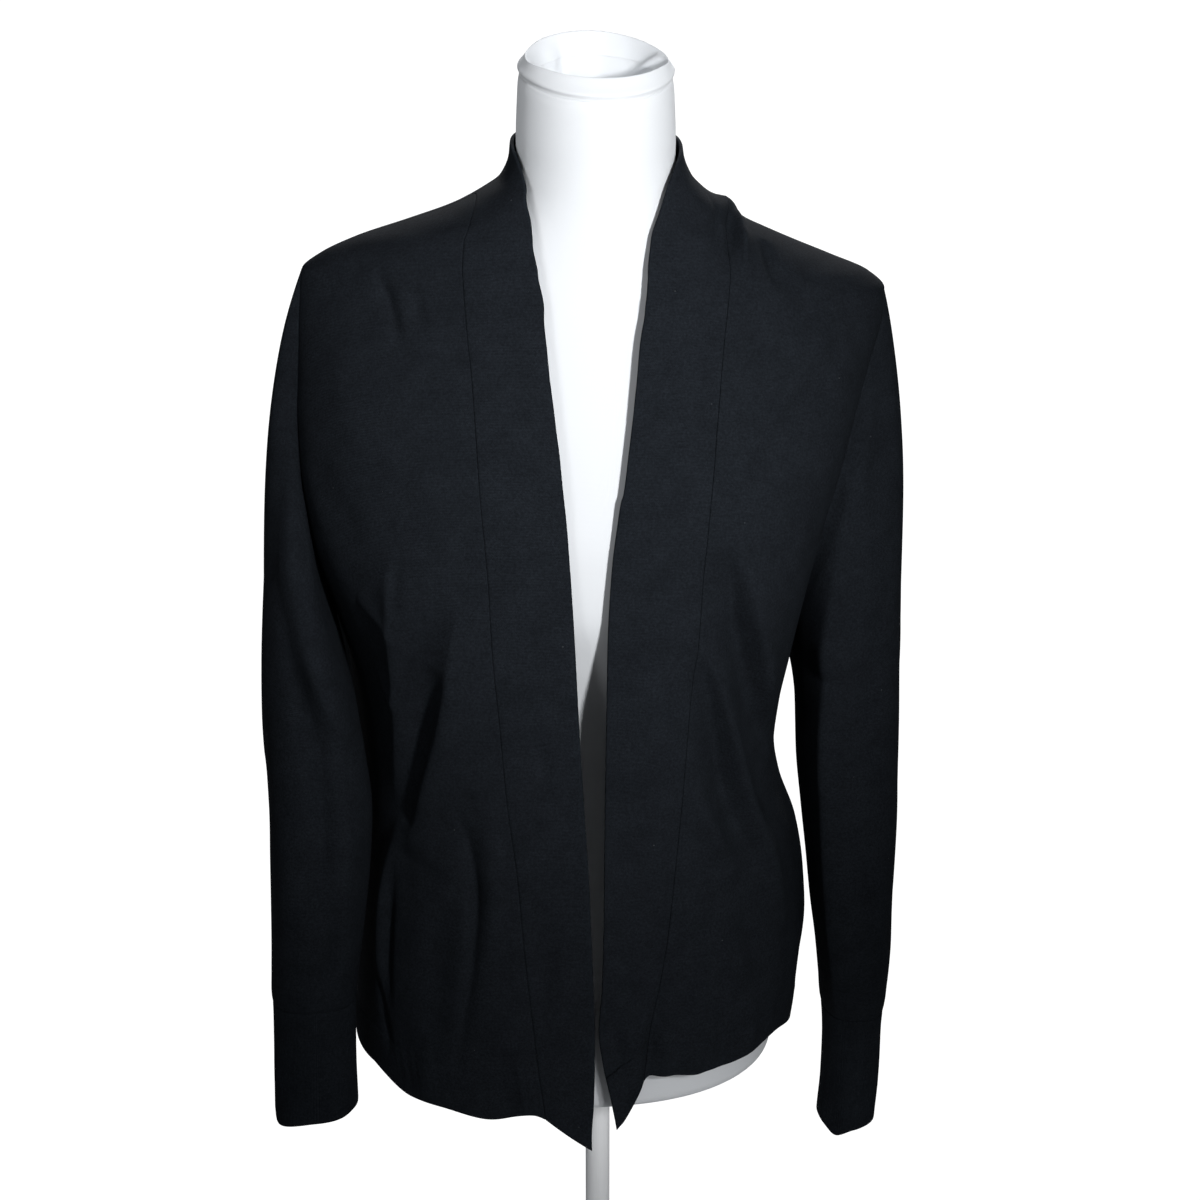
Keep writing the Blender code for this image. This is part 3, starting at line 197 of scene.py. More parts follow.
# Folds of the body cloth. Each is a soft curve through three points of the surface, given by their
# side angle (degrees from the front, negative to the left) and height.
# wl, wr: how far the fold reaches to its left and to its right, in metres. rise: above 0 for a ridge, below 0
# for a trough, in metres. crisp: 2 is a round crest, 1 a pinched one. peak: where along it it is strongest.
BODY_FOLDS = [
    # a0, z0, a1, z1, a2, z2, wl, wr, rise, crisp, peak
    # left front: the long fold from the bust down to the side, with its deep shaded left flank
    (-24.0, 0.685, -37.5, 0.588, -54.0, 0.474, 0.0115, 0.0380, 0.0165, 1.15, 0.55),
    (-35.0, 0.630, -44.0, 0.570, -54.0, 0.495, 0.0140, 0.0075, -0.0078, 2.00, 0.50),
    # the front's outer corner, which hangs in a ridge beside the sleeve
    (-38.0, 0.712, -50.0, 0.620, -59.0, 0.510, 0.0085, 0.0200, 0.0095, 1.15, 0.45),
    (-58.0, 0.668, -50.5, 0.658, -44.0, 0.640, 0.0045, 0.0060, 0.0030, 1.40, 0.45),
    (-60.0, 0.620, -56.0, 0.602, -51.0, 0.590, 0.0045, 0.0060, 0.0030, 1.40, 0.45),
    (-54.0, 0.508, -65.0, 0.426, -62.0, 0.330, 0.0065, 0.0090, 0.0058, 1.35, 0.40),
    (-60.0, 0.470, -62.0, 0.400, -60.0, 0.340, 0.0038, 0.0045, -0.0046, 1.60, 0.50),
    (-66.5, 0.375, -63.5, 0.340, -60.0, 0.305, 0.0033, 0.0042, -0.0036, 1.50, 0.50),
    # two thin creases of the left skirt
    (-36.0, 0.520, -32.5, 0.430, -37.0, 0.310, 0.0034, 0.0048, -0.0062, 1.30, 0.45),
    (-30.0, 0.545, -27.5, 0.470, -28.0, 0.400, 0.0065, 0.0080, 0.0030, 1.80, 0.50),
    (-41.0, 0.450, -42.0, 0.390, -45.0, 0.320, 0.0120, 0.0100, -0.0030, 2.00, 0.50),
    # chest and shoulder
    (-37.5, 0.705, -40.5, 0.682, -43.5, 0.660, 0.0033, 0.0040, -0.0022, 1.60, 0.50),
    (-55.0, 0.887, -48.0, 0.862, -42.0, 0.838, 0.0034, 0.0042, -0.0048, 1.50, 0.45),
    (-46.0, 0.880, -42.0, 0.862, -38.0, 0.846, 0.0040, 0.0050, -0.0022, 1.80, 0.45),
    (-63.0, 0.840, -52.0, 0.800, -40.0, 0.745, 0.0150, 0.0200, 0.0034, 1.90, 0.50),
    (-68.0, 0.770, -58.0, 0.735, -48.0, 0.712, 0.0120, 0.0120, -0.0028, 2.00, 0.50),
    # left band: its faint wave
    (-15.5, 0.585, -14.5, 0.555, -14.5, 0.525, 0.0038, 0.0050, -0.0020, 1.80, 0.50),
    (-17.0, 0.470, -15.5, 0.390, -16.5, 0.310, 0.0100, 0.0110, -0.0026, 2.00, 0.60),
    # right front: bunched cloth where the band meets the shoulder
    (90.0, 0.919, 57.0, 0.9045, 34.0, 0.881, 0.0044, 0.0028, -0.0058, 1.40, 0.45),
    (76.0, 0.928, 52.0, 0.9085, 35.0, 0.889, 0.0026, 0.0030, -0.0026, 1.60, 0.45),
    (80.0, 0.914, 53.0, 0.8975, 36.0, 0.873, 0.0028, 0.0058, 0.0056, 1.35, 0.45),
    (64.0, 0.896, 50.0, 0.883, 41.0, 0.866, 0.0034, 0.0044, -0.0032, 1.60, 0.50),
    (53.0, 0.868, 42.5, 0.854, 34.0, 0.839, 0.0038, 0.0050, -0.0034, 1.60, 0.45),
    (108.0, 0.915, 84.0, 0.9165, 62.0, 0.905, 0.0070, 0.0075, 0.0052, 1.80, 0.45),
    # the wide soft fold from the right shoulder to the bust
    (50.0, 0.848, 31.0, 0.801, 15.0, 0.745, 0.0110, 0.0340, 0.0074, 1.45, 0.40),
    (53.0, 0.838, 33.0, 0.783, 19.0, 0.735, 0.0120, 0.0100, -0.0040, 2.00, 0.45),
    # right front: the long fold from the bust round to the waist, between two ridges
    (25.0, 0.690, 38.0, 0.622, 57.0, 0.555, 0.0060, 0.0140, 0.0092, 1.25, 0.55),
    (17.0, 0.708, 33.0, 0.625, 60.0, 0.528, 0.0200, 0.0060, -0.0140, 1.60, 0.45),
    (16.0, 0.640, 39.0, 0.527, 53.5, 0.400, 0.0065, 0.0100, 0.0086, 1.35, 0.55),
    (13.0, 0.634, 30.5, 0.550, 42.5, 0.440, 0.0160, 0.0055, -0.0115, 1.60, 0.50),
    (18.5, 0.540, 25.5, 0.500, 33.0, 0.455, 0.0070, 0.0070, 0.0056, 1.40, 0.50),
    (32.0, 0.463, 36.5, 0.410, 41.0, 0.350, 0.0100, 0.0110, -0.0040, 2.00, 0.50),
    # right band's lower end and the pleat beside its seam
    (-1.0, 0.362, -0.5, 0.335, 0.5, 0.300, 0.0036, 0.0042, -0.0026, 1.60, 0.60),
    (7.0, 0.380, 6.0, 0.335, 5.5, 0.296, 0.0048, 0.0060, -0.0050, 1.60, 0.75),
    # the right hem's small uneven waves
    (13.0, 0.345, 12.5, 0.325, 12.5, 0.300, 0.0040, 0.0046, -0.0022, 1.80, 0.70),
    (18.0, 0.340, 18.5, 0.322, 18.0, 0.300, 0.0050, 0.0046, 0.0020, 1.80, 0.70),
    (25.0, 0.350, 26.5, 0.328, 26.0, 0.304, 0.0050, 0.0060, -0.0026, 1.80, 0.70),
    (36.0, 0.360, 37.5, 0.335, 37.0, 0.308, 0.0070, 0.0060, 0.0028, 1.80, 0.70),
    (-24.0, 0.335, -23.5, 0.310, -23.0, 0.276, 0.0060, 0.0070, -0.0026, 1.80, 0.75),
    (-44.0, 0.340, -45.5, 0.315, -45.0, 0.280, 0.0080, 0.0070, 0.0030, 1.80, 0.75),
    # sides
    (-84.0, 0.600, -92.0, 0.520, -88.0, 0.430, 0.0100, 0.0160, 0.0050, 1.40, 0.50),
    (-99.0, 0.662, -100.0, 0.605, -98.0, 0.545, 0.0140, 0.0140, 0.0085, 2.00, 0.50),
    (-97.0, 0.560, -104.0, 0.460, -100.0, 0.350, 0.0110, 0.0140, -0.0045, 1.90, 0.50),
    (84.0, 0.560, 92.0, 0.480, 86.0, 0.380, 0.0120, 0.0100, -0.0036, 1.90, 0.50),
    (72.0, 0.530, 78.0, 0.450, 74.0, 0.360, 0.0080, 0.0110, 0.0036, 1.40, 0.50),
    # back: folds that run into the hollow of the waist, and long ones down to the hem
    (-118.0, 0.720, -140.0, 0.630, -160.0, 0.560, 0.0130, 0.0200, 0.0048, 1.40, 0.55),
    (-112.0, 0.640, -128.0, 0.570, -150.0, 0.515, 0.0110, 0.0130, -0.0048, 2.00, 0.50),
    (118.0, 0.700, 138.0, 0.625, 158.0, 0.575, 0.0160, 0.0110, 0.0044, 1.50, 0.50),
    (108.0, 0.620, 122.0, 0.550, 140.0, 0.500, 0.0100, 0.0120, -0.0042, 2.00, 0.55),
    (-171.0, 0.600, -174.0, 0.545, -170.0, 0.480, 0.0100, 0.0120, -0.0030, 2.00, 0.45),
    (-146.0, 0.520, -150.0, 0.420, -144.0, 0.315, 0.0120, 0.0180, 0.0050, 1.40, 0.60),
    (-158.0, 0.500, -161.0, 0.410, -157.0, 0.320, 0.0100, 0.0110, -0.0038, 2.00, 0.60),
    (166.0, 0.515, 169.0, 0.410, 163.0, 0.310, 0.0160, 0.0120, 0.0046, 1.40, 0.60),
    (150.0, 0.505, 147.0, 0.410, 150.0, 0.330, 0.0110, 0.0100, -0.0036, 1.90, 0.55),
    (128.0, 0.520, 124.0, 0.420, 127.0, 0.320, 0.0120, 0.0140, 0.0040, 1.50, 0.55),
    (-122.0, 0.840, -140.0, 0.780, -165.0, 0.750, 0.0150, 0.0180, 0.0026, 1.80, 0.40),
    (122.0, 0.835, 142.0, 0.785, 160.0, 0.760, 0.0140, 0.0170, 0.0024, 1.80, 0.40),
    (-178.0, 0.895, 178.0 - 360.0, 0.850, -176.0, 0.800, 0.0120, 0.0130, -0.0016, 2.00, 0.30),
]
SLEEVE_FOLDS = {
    # turn0, q0, turn1, q1, turn2, q2, wl, wr, rise, crisp, peak.
    # turn: degrees, 0 outside, 90 front, 180 inside. q: -1 at the armhole, 0 at the first level section, 1 at the cuff.
    -1: [
        # the long ridge down the front from the armhole, with its shaded left flank
        (73.0, -0.800, 77.0, -0.450, 97.0, -0.150, 0.0090, 0.0200, 0.0092, 1.15, 0.60),
        (80.0, -0.340, 100.0, -0.110, 126.0, 0.110, 0.0080, 0.0180, 0.0112, 1.12, 0.45),
        (64.0, -0.420, 80.0, -0.140, 95.0, 0.180, 0.0110, 0.0070, -0.0078, 2.00, 0.50),
        (92.0, 0.060, 90.0, 0.330, 86.0, 0.600, 0.0095, 0.0075, -0.0050, 2.00, 0.40),
        (104.0, 0.600, 107.0, 0.760, 99.0, 0.985, 0.0033, 0.0045, -0.0040, 1.40, 0.45),
        (58.0, 0.300, 52.0, 0.560, 57.0, 0.850, 0.0110, 0.0120, 0.0034, 1.70, 0.50),
        (112.0, 0.200, 116.0, 0.480, 112.0, 0.750, 0.0080, 0.0080, 0.0036, 1.60, 0.50),
        (40.0, -0.700, 38.0, -0.350, 30.0, 0.050, 0.0120, 0.0140, -0.0022, 2.00, 0.50),
        (94.0, 0.780, 88.0, 0.880, 84.0, 0.990, 0.0045, 0.0050, -0.0024, 1.80, 0.50),
        # outer side and back
        (10.0, -0.300, 0.0, 0.000, -22.0, 0.300, 0.0110, 0.0150, 0.0030, 1.50, 0.50),
        (-12.0, 0.150, -34.0, 0.420, -44.0, 0.800, 0.0090, 0.0120, -0.0032, 1.80, 0.50),
        (-62.0, -0.600, -84.0, -0.250, -78.0, 0.150, 0.0110, 0.0160, 0.0042, 1.40, 0.50),
        (-100.0, -0.400, -112.0, 0.000, -104.0, 0.400, 0.0100, 0.0120, -0.0036, 1.90, 0.50),
        (-72.0, 0.300, -88.0, 0.600, -80.0, 0.950, 0.0090, 0.0110, 0.0028, 1.50, 0.50),
        (196.0, 0.150, 204.0, 0.450, 198.0, 0.800, 0.0090, 0.0090, -0.0024, 1.80, 0.50),
    ],
    1: [
        # the ridge between the lit front and the shaded inner side, from the armhole to the cuff
        (74.0, -1.000, 104.0, -0.700, 124.0, -0.300, 0.0100, 0.0300, 0.0096, 1.15, 0.75),
        (116.0, -0.500, 125.0, 0.060, 128.0, 0.600, 0.0095, 0.0300, 0.0118, 1.12, 0.45),
        (126.0, 0.250, 131.0, 0.650, 135.0, 1.000, 0.0085, 0.0260, 0.0084, 1.12, 0.45),
        (52.0, -0.990, 69.0, -0.850, 86.0, -0.700, 0.0065, 0.0080, 0.0028, 1.50, 0.50),
        (76.0, -0.420, 81.0, -0.080, 83.0, 0.300, 0.0080, 0.0080, -0.0038, 2.00, 0.50),
        (84.0, 0.250, 88.0, 0.550, 86.0, 0.900, 0.0080, 0.0070, -0.0030, 2.00, 0.50),
        (44.0, -0.200, 40.0, 0.200, 46.0, 0.700, 0.0120, 0.0120, 0.0030, 1.70, 0.50),
        # outer side and back
        (8.0, -0.300, -2.0, 0.050, -18.0, 0.400, 0.0110, 0.0130, 0.0028, 1.60, 0.50),
        (-26.0, 0.100, -36.0, 0.450, -30.0, 0.850, 0.0090, 0.0120, -0.0030, 1.80, 0.50),
        (-60.0, -0.600, -82.0, -0.250, -74.0, 0.200, 0.0130, 0.0110, 0.0040, 1.40, 0.50),
        (-98.0, -0.350, -110.0, 0.050, -100.0, 0.500, 0.0100, 0.0120, -0.0034, 1.90, 0.50),
        (-66.0, 0.350, -84.0, 0.650, -76.0, 0.950, 0.0090, 0.0100, 0.0026, 1.50, 0.50),
    ],
}


def curve(xs, ys):
    """A monotone cubic through points, for arrays."""
    xs, ys = np.asarray(xs, float), np.asarray(ys, float)
    step = np.diff(xs)
    slope = np.diff(ys) / step
    tangent = np.zeros(len(xs))
    tangent[0], tangent[-1] = slope[0], slope[-1]
    for i in range(1, len(xs) - 1):
        if slope[i - 1] * slope[i] > 0:
            w1, w2 = 2 * step[i] + step[i - 1], step[i] + 2 * step[i - 1]
            tangent[i] = (w1 + w2) / (w1 / slope[i - 1] + w2 / slope[i])

    def value(at):
        at = np.clip(at, xs[0], xs[-1])
        i = np.clip(np.searchsorted(xs, at, side="right") - 1, 0, len(xs) - 2)
        t = (at - xs[i]) / step[i]
        return (
            (1 + 2 * t) * (1 - t) ** 2 * ys[i]
            + t * (1 - t) ** 2 * step[i] * tangent[i]
            + t * t * (3 - 2 * t) * ys[i + 1]
            + t * t * (t - 1) * step[i] * tangent[i + 1]
        )

    return value


def column(rows, k):
    rows = sorted(rows)
    return curve([r[0] for r in rows], [r[k] for r in rows])


def signed_power(v, p):
    return np.sign(v) * np.abs(v) ** p


def unit(v):
    return v / np.maximum(np.linalg.norm(v, axis=-1, keepdims=True), 1e-12)


class Sections:
    """A closed form through superellipse sections: point(side angle from the front, height)."""

    def __init__(self, rows):
        self.left, self.right, self.front, self.back, self.power = (column(rows, k) for k in range(1, 6))

    def half_width(self, side, z):
        return np.where(np.asarray(side) < 0, self.left(z), self.right(z))

    def point(self, angle, z):
        n = self.power(z)
        s, c = np.sin(angle), np.cos(angle)
        s = np.where(np.abs(s) < 1e-9, 0.0, s)
        c = np.where(np.abs(c) < 1e-9, 0.0, c)
        x = signed_power(s, 2 / n) * self.half_width(s, z)
        y = SIDE_SEAM_Y - signed_power(c, 2 / n) * np.where(c > 0, self.front(z), self.back(z))
        return np.stack([x, y, np.broadcast_to(z, x.shape)], axis=-1)

    def angle_at(self, x, z):
        share = np.minimum(np.abs(x) / self.half_width(x, z), 1.0)
        return np.sign(x) * np.arcsin(share ** (self.power(z) / 2))

    def normal(self, angle, z):
        d = 1e-3
        along = self.point(angle + 4 * d, z) - self.point(angle - 4 * d, z)
        up = self.point(angle, z + d) - self.point(angle, z - d)
        return unit(np.cross(along, up))


BODY = Sections(BODY_SECTIONS)
FORM = Sections(FORM_SECTIONS)


def body_surface(a, z):
    return BODY.point(a, z), BODY.normal(a, z)


# ---------------------------------------------------------------- folds
FOLD_STEPS = 18


def fold_paths(surface, rows):
    """Each fold as sampled points on its surface, with the direction of its right-hand side."""
    paths = []
    for u0, v0, u1, v1, u2, v2, wl, wr, rise, crisp, peak in rows:
        t = np.linspace(0, 1, FOLD_STEPS)
        # a quadratic that passes through the middle point at t = 1/2
        b0, b1, b2 = 2 * (t - 0.5) * (t - 1), -4 * t * (t - 1), 2 * t * (t - 0.5)
        points, normals = surface(np.radians(b0 * u0 + b1 * u1 + b2 * u2), b0 * v0 + b1 * v1 + b2 * v2)
        direction = unit(np.gradient(points, axis=0))
        # its right is that of someone who looks at it from outside, for a fold that runs downwards
        right = unit(np.cross(normals, direction))
        if direction[:, 2].mean() > 0:
            right = -right
        paths.append((points, right, wl, wr, rise, crisp, peak))
    return paths


def fold_field(points, paths):
    """The sum of the folds at points (n, 3) of the smooth surface."""
    total = np.zeros(len(points))
    for line, right, wl, wr, rise, crisp, peak in paths:
        reach = max(wl, wr) * (2.6 if crisp > 1.7 else 3.6)
        low, high = line.min(axis=0) - reach, line.max(axis=0) + reach
        near = np.flatnonzero(np.all((points > low) & (points < high), axis=1))
        if not len(near):
            continue
        p = points[near]
        best = np.full(len(p), 1e9)
        side = np.zeros(len(p))
        along = np.zeros(len(p))
        for k in range(len(line) - 1):
            a, d = line[k], line[k + 1] - line[k]
            t = np.clip(((p - a) @ d) / max(float(d @ d), 1e-12), 0, 1)
            away = p - a - t[:, None] * d
            distance = np.linalg.norm(away, axis=1)
            closer = distance < best
            best = np.where(closer, distance, best)
            side = np.where(closer, away @ right[k], side)
            along = np.where(closer, (k + t) / (len(line) - 1), along)
        # the reach changes smoothly from one side to the other over the crest
        mix = 0.5 + 0.5 * np.tanh(side / 0.0015)
        span = wl + (wr - wl) * mix
        crest = 0.0011
        away = np.sqrt(best ** 2 + crest ** 2) - crest
        profile = np.exp(-((away / span) ** crisp))
        # strongest at the peak, and fading to nothing at both ends
        warp = np.where(along < peak, along / (2 * peak), 0.5 + (along - peak) / (2 * (1 - peak)))
        total[near] += rise * profile * np.sin(np.pi * np.clip(warp, 0.0, 1.0)) ** 0.9
    return total


def ripple(p, amount, seed):
    """A small uneven swell of the cloth, the same each run."""
    x, y, z = p[..., 0], p[..., 1], p[..., 2]
    rng = np.random.default_rng(seed)
    total = 0.0
    for _ in range(9):
        f = rng.uniform(18, 75, 3) * rng.choice([-1, 1], 3)
        total = total + np.sin(f[0] * x + f[1] * y + 0.55 * f[2] * z + rng.uniform(0, 6.28)) / 9
    return amount * total


# ---------------------------------------------------------------- rows and seams of the body
HEM_CURVE = curve([r[0] for r in HEM_FRONT], [r[1] for r in HEM_FRONT])
HEM_BACK_CURVE = curve([r[0] for r in HEM_BACK], [r[1] for r in HEM_BACK])


def hem_height(angle):
    degrees = np.degrees(angle)
    x = BODY.point(angle, np.full(np.shape(angle), HEM_LEVEL))[..., 0]
    behind = np.cos(angle) < 0
    return np.where(behind, HEM_BACK_CURVE(degrees % 360), HEM_CURVE(x))


def skirt_level(share, angle, top):
    level = HEM_LEVEL + (top - HEM_LEVEL) * share
    return level + (hem_height(angle) - HEM_LEVEL) * np.maximum(0.0, 1 - share * 1.9) ** 1.6


def skirt_shares():
    """Rows from the hem to the underarm, closer together at the hem's fold and at its stitch line."""
    stitch = HEM_TURN / 0.33
    near = stitch + np.array([-0.0030, -0.0018, -0.0009, 0.0, 0.0009, 0.0018, 0.0030]) / 0.33
    low = np.linspace(0, near[0], 10)[:-1]
    high = np.linspace(near[-1], 1, 98)[1:]
    return np.concatenate([low, near, high])


SHARES = skirt_shares()
HOLE_ROWS, SHOULDER_ROWS, NECK_ROWS = 96, 44, 39
TURNS = np.pi * (1 - np.arange(1, HOLE_ROWS + 1) / HOLE_ROWS)
RISE = np.arange(1, SHOULDER_ROWS + 1) / SHOULDER_ROWS
EDGE = {
    (-1, "free"): column(FRONT_EDGES, 1),
    (-1, "seam"): column(FRONT_EDGES, 2),
    (1, "free"): column(FRONT_EDGES, 3),
    (1, "seam"): column(FRONT_EDGES, 4),
}


def hole(side, turn):
    """(bite to the front, bite to the back, height) round the armhole."""
    h = ARMHOLES[side]
    middle, half = (h["tip"] + h["under"]) / 2, (h["tip"] - h["under"]) / 2
    bulge = np.abs(np.sin(turn)) ** 0.9
    return np.radians(h["front"]) * bulge, np.radians(h["back"]) * bulge, middle + half * np.cos(turn)


def seam_angle(side, z):
    top, last = NECK_POINT[side], FRONT_EDGES[-1][0]
    low_x = EDGE[side, "seam"](z)
    t = np.clip((z - last) / (top - last), 0, 1)
    end_x = EDGE[side, "seam"](last)
    high_x = end_x + (side * BODY.half_width(side, top) - end_x) * t
    return BODY.angle_at(np.where(z <= last, low_x, high_x), z)


def ease(rise):
    return 1 - (1 - rise) ** 1.6


def front_seam(side):
    """The band's seam from the hem to the neck point: angles and heights."""
    under, tip, top = ARMHOLES[side]["under"], ARMHOLES[side]["tip"], NECK_POINT[side]
    z = HEM_LEVEL + (under - HEM_LEVEL) * SHARES
    for _ in range(8):
        a = seam_angle(side, z)
        z = skirt_level(SHARES, a, under)
    a = seam_angle(side, z)
    hole_z = hole(side, TURNS)[2]
    shoulder_z = tip + (top - tip) * ease(RISE)
    z = np.concatenate([z, hole_z, shoulder_z])
    return np.concatenate([a, seam_angle(side, hole_z), seam_angle(side, shoulder_z)]), z


def even_angles(start, end, level, count):
    """Angles from start to end of a row, evenly spaced along the surface. level: height for angles."""
    fine = np.linspace(start, end, 361)
    z = level(fine)
    p = BODY.point(fine, z)
    run = np.concatenate([[0], np.cumsum(np.linalg.norm(np.diff(p, axis=0), axis=1))])
    a = np.interp(np.linspace(0, run[-1], count), run, fine)
    return a, level(a)


def seam_heights(side, count):
    """The shoulder seam from the neck point to the tip, evenly spaced: heights."""
    top, tip = NECK_POINT[side], ARMHOLES[side]["tip"]
    z = np.linspace(top, tip, 400)
    p = BODY.point(np.full(400, side * np.pi / 2), z)
    run = np.concatenate([[0], np.cumsum(np.linalg.norm(np.diff(p, axis=0), axis=1))])
    return np.interp(np.linspace(0, run[-1], count), run, z)


def front_grid(side, count=124):
    under, tip = ARMHOLES[side]["under"], ARMHOLES[side]["tip"]
    seam_a, seam_z = front_seam(side)
    rows = []
    for i, share in enumerate(SHARES):
        rows.append(even_angles(seam_a[i], side * np.pi / 2, lambda a: skirt_level(share, a, under), count))
    for i, turn in enumerate(TURNS):
        bite, _, z = hole(side, turn)
        rows.append(even_angles(seam_a[len(SHARES) + i], side * (np.pi / 2 - bite), lambda a: np.full(a.shape, float(z)), count))
    low = rows[-1][0]
    share = (low - low[0]) / (low[-1] - low[0])
    even = np.linspace(0, 1, count)
    seam_top = seam_heights(side, count)
    first = len(SHARES) + HOLE_ROWS
    for k, rise in enumerate(RISE):
        a0 = seam_a[first + k]
        mix = share * (1 - rise) + even * rise
        rows.append((a0 + (side * np.pi / 2 - a0) * mix, tip + (seam_top - tip) * ease(rise)))
    return np.array([r[0] for r in rows]), np.array([r[1] for r in rows])


def back_grid(count=160, neck_share=0.30):
    rows = []
    tips = (ARMHOLES[-1], ARMHOLES[1])

    def across(a):
        return (-np.pi / 2 - a) / np.pi  # 0 at the left side seam, 1 at the right

    for share in SHARES:
        def level(a, share=share):
            x = np.clip(across(a), 0, 1)
            under = tips[0]["under"] + (tips[1]["under"] - tips[0]["under"]) * x
            # the last rows stay a little below the first row between the armholes
            return skirt_level(share, a, under) - 0.0008 * share ** 30 * np.sqrt(4 * x * (1 - x))

        rows.append(even_angles(-np.pi / 2, -3 * np.pi / 2, level, count))
    for turn in TURNS:
        left, right = hole(-1, turn), hole(1, turn)
        start, end = -np.pi / 2 - left[1], -3 * np.pi / 2 + right[1]

        def level(a, start=start, end=end, left=left, right=right):
            return left[2] + (right[2] - left[2]) * (a - start) / (end - start)

        rows.append(even_angles(start, end, level, count))
    low_a, low_z = rows[-1]
    u = np.linspace(-1, 1, count)
    top_a, top_z = np.zeros(count), np.zeros(count)
    for side in (-1, 1):
        here = (u < 0) if side < 0 else (u >= 0)
        heights = seam_heights(side, 200)
        share = (np.abs(u) - neck_share) / (1 - neck_share)
        shoulder_z = np.interp(np.clip(share, 0, 1), np.linspace(0, 1, 200), heights)
        t = np.clip(np.abs(u) / neck_share, 0, 1)
        neck_z = BACK_NECK_Z + (NECK_POINT[side] - BACK_NECK_Z) * t * t
        turn = np.where(np.abs(u) >= neck_share, np.pi / 2, np.pi - np.pi / 2 * t)
        angle = -turn if side < 0 else -2 * np.pi + turn
        top_a = np.where(here, angle, top_a)
        top_z = np.where(here, np.where(np.abs(u) >= neck_share, shoulder_z, neck_z), top_z)
    for rise in RISE:
        f = ease(rise)
        rows.append((low_a + (top_a - low_a) * rise, low_z + (top_z - low_z) * f))
    return np.array([r[0] for r in rows]), np.array([r[1] for r in rows])


def smooth_edge(a, z, reach=0.013, low=0.70):
    """An edge's points, evened out above a height so that its parts run into each other without a corner."""
    p = BODY.point(a, z)
    run = np.concatenate([[0], np.cumsum(np.linalg.norm(np.diff(p, axis=0), axis=1))])
    step = 0.0005
    count = int(run[-1] / step)
    at = np.linspace(0, run[-1], count)
    pad = int(3 * reach / step)
    kernel = np.exp(-0.5 * (np.arange(-pad, pad + 1) * step / reach) ** 2)
    kernel /= kernel.sum()
    evened = []
    for values in (a, z):
        line = np.interp(at, run, values)
        start, end = 2 * line[0] - line[pad:0:-1], 2 * line[-1] - line[-2:-pad - 2:-1]
        evened.append(np.interp(run, at, np.convolve(np.concatenate([start, line, end]), kernel, "valid")))
    w = smoothstep((z - low) / 0.05)
    return a + (evened[0] - a) * w, z + (evened[1] - z) * w


def band_grid(side, count=22):
    seam_a, seam_z = front_seam(side)
    under, tip = ARMHOLES[side]["under"], ARMHOLES[side]["tip"]
    last = FRONT_EDGES[-1][0]
    free_edge = EDGE[side, "free"]
    z = HEM_LEVEL + (under - HEM_LEVEL) * SHARES
    for _ in range(8):
        a = BODY.angle_at(free_edge(z), z)
        z = skirt_level(SHARES, a, under)
    free_a, free_z = [BODY.angle_at(free_edge(z), z)], [z]
    hole_z = hole(side, TURNS)[2]
    free_a.append(BODY.angle_at(free_edge(hole_z), hole_z))
    free_z.append(hole_z)
    start = (abs(math.degrees(free_a[-1][-1])), float(hole_z[-1]))
    path = [start]
    if last > start[1] + 0.008:
        path.append((abs(math.degrees(float(BODY.angle_at(free_edge(last), last)))), last))
    path += COLLAR_EDGE[side]
    ks = np.arange(len(path), dtype=float)
    at = np.linspace(0, ks[-1], 600)
    degrees, heights = curve(ks, [p[0] for p in path])(at), curve(ks, [p[1] for p in path])(at)
    p = BODY.point(np.radians(degrees) * side, heights)
    run = np.concatenate([[0], np.cumsum(np.linalg.norm(np.diff(p, axis=0), axis=1))])
    steps = SHOULDER_ROWS + NECK_ROWS
    want = run[-1] * (np.arange(1, steps + 1) / steps) ** 0.92
    free_a.append(side * np.radians(np.interp(want, run, degrees)))
    free_z.append(np.interp(want, run, heights))
    t = 1 - np.arange(1, NECK_ROWS + 1) / NECK_ROWS
    seam_a = np.concatenate([seam_a, side * (np.pi - np.pi / 2 * t)])
    seam_z = np.concatenate([seam_z, BACK_NECK_Z + (NECK_POINT[side] - BACK_NECK_Z) * t * t])
    free_a, free_z = smooth_edge(np.concatenate(free_a), np.concatenate(free_z))
    mix = np.linspace(0, 1, count)[None, :]
    return (
        seam_a[:, None] + (free_a - seam_a)[:, None] * mix,
        seam_z[:, None] + (free_z - seam_z)[:, None] * mix,
    )


# ---------------------------------------------------------------- sleeves
def ring(rows, z, turn):
    side = -1 if rows[0][1] < 0 else 1
    cx, cy, rx, ry, n = (column(rows, k)(z) for k in range(1, 6))
    x = cx + side * rx * signed_power(np.cos(turn), 2 / n)
    y = cy - ry * signed_power(np.sin(turn), 2 / n)
    return np.stack([x, y, np.broadcast_to(z, x.shape)], axis=-1)


def armhole_point(side, turn):
    turn = np.mod(turn, 2 * np.pi)
    bite_f, bite_b, z = hole(side, np.where(turn <= np.pi, turn, 2 * np.pi - turn))
    angle = np.where(turn <= np.pi, side * (np.pi / 2 - bite_f), side * (np.pi / 2 + bite_b))
    return angle, z


def body_point(a, z):
    """A point of the creased cloth on the body, and the smooth surface's normal there."""
    a, z = np.broadcast_arrays(np.asarray(a, float), np.asarray(z, float))
    p, n = body_surface(a, z)
    lift = fold_field(p.reshape(-1, 3), BODY_PATHS).reshape(a.shape) + ripple(p, 0.0011, 5)
    return p + n * lift[..., None], n


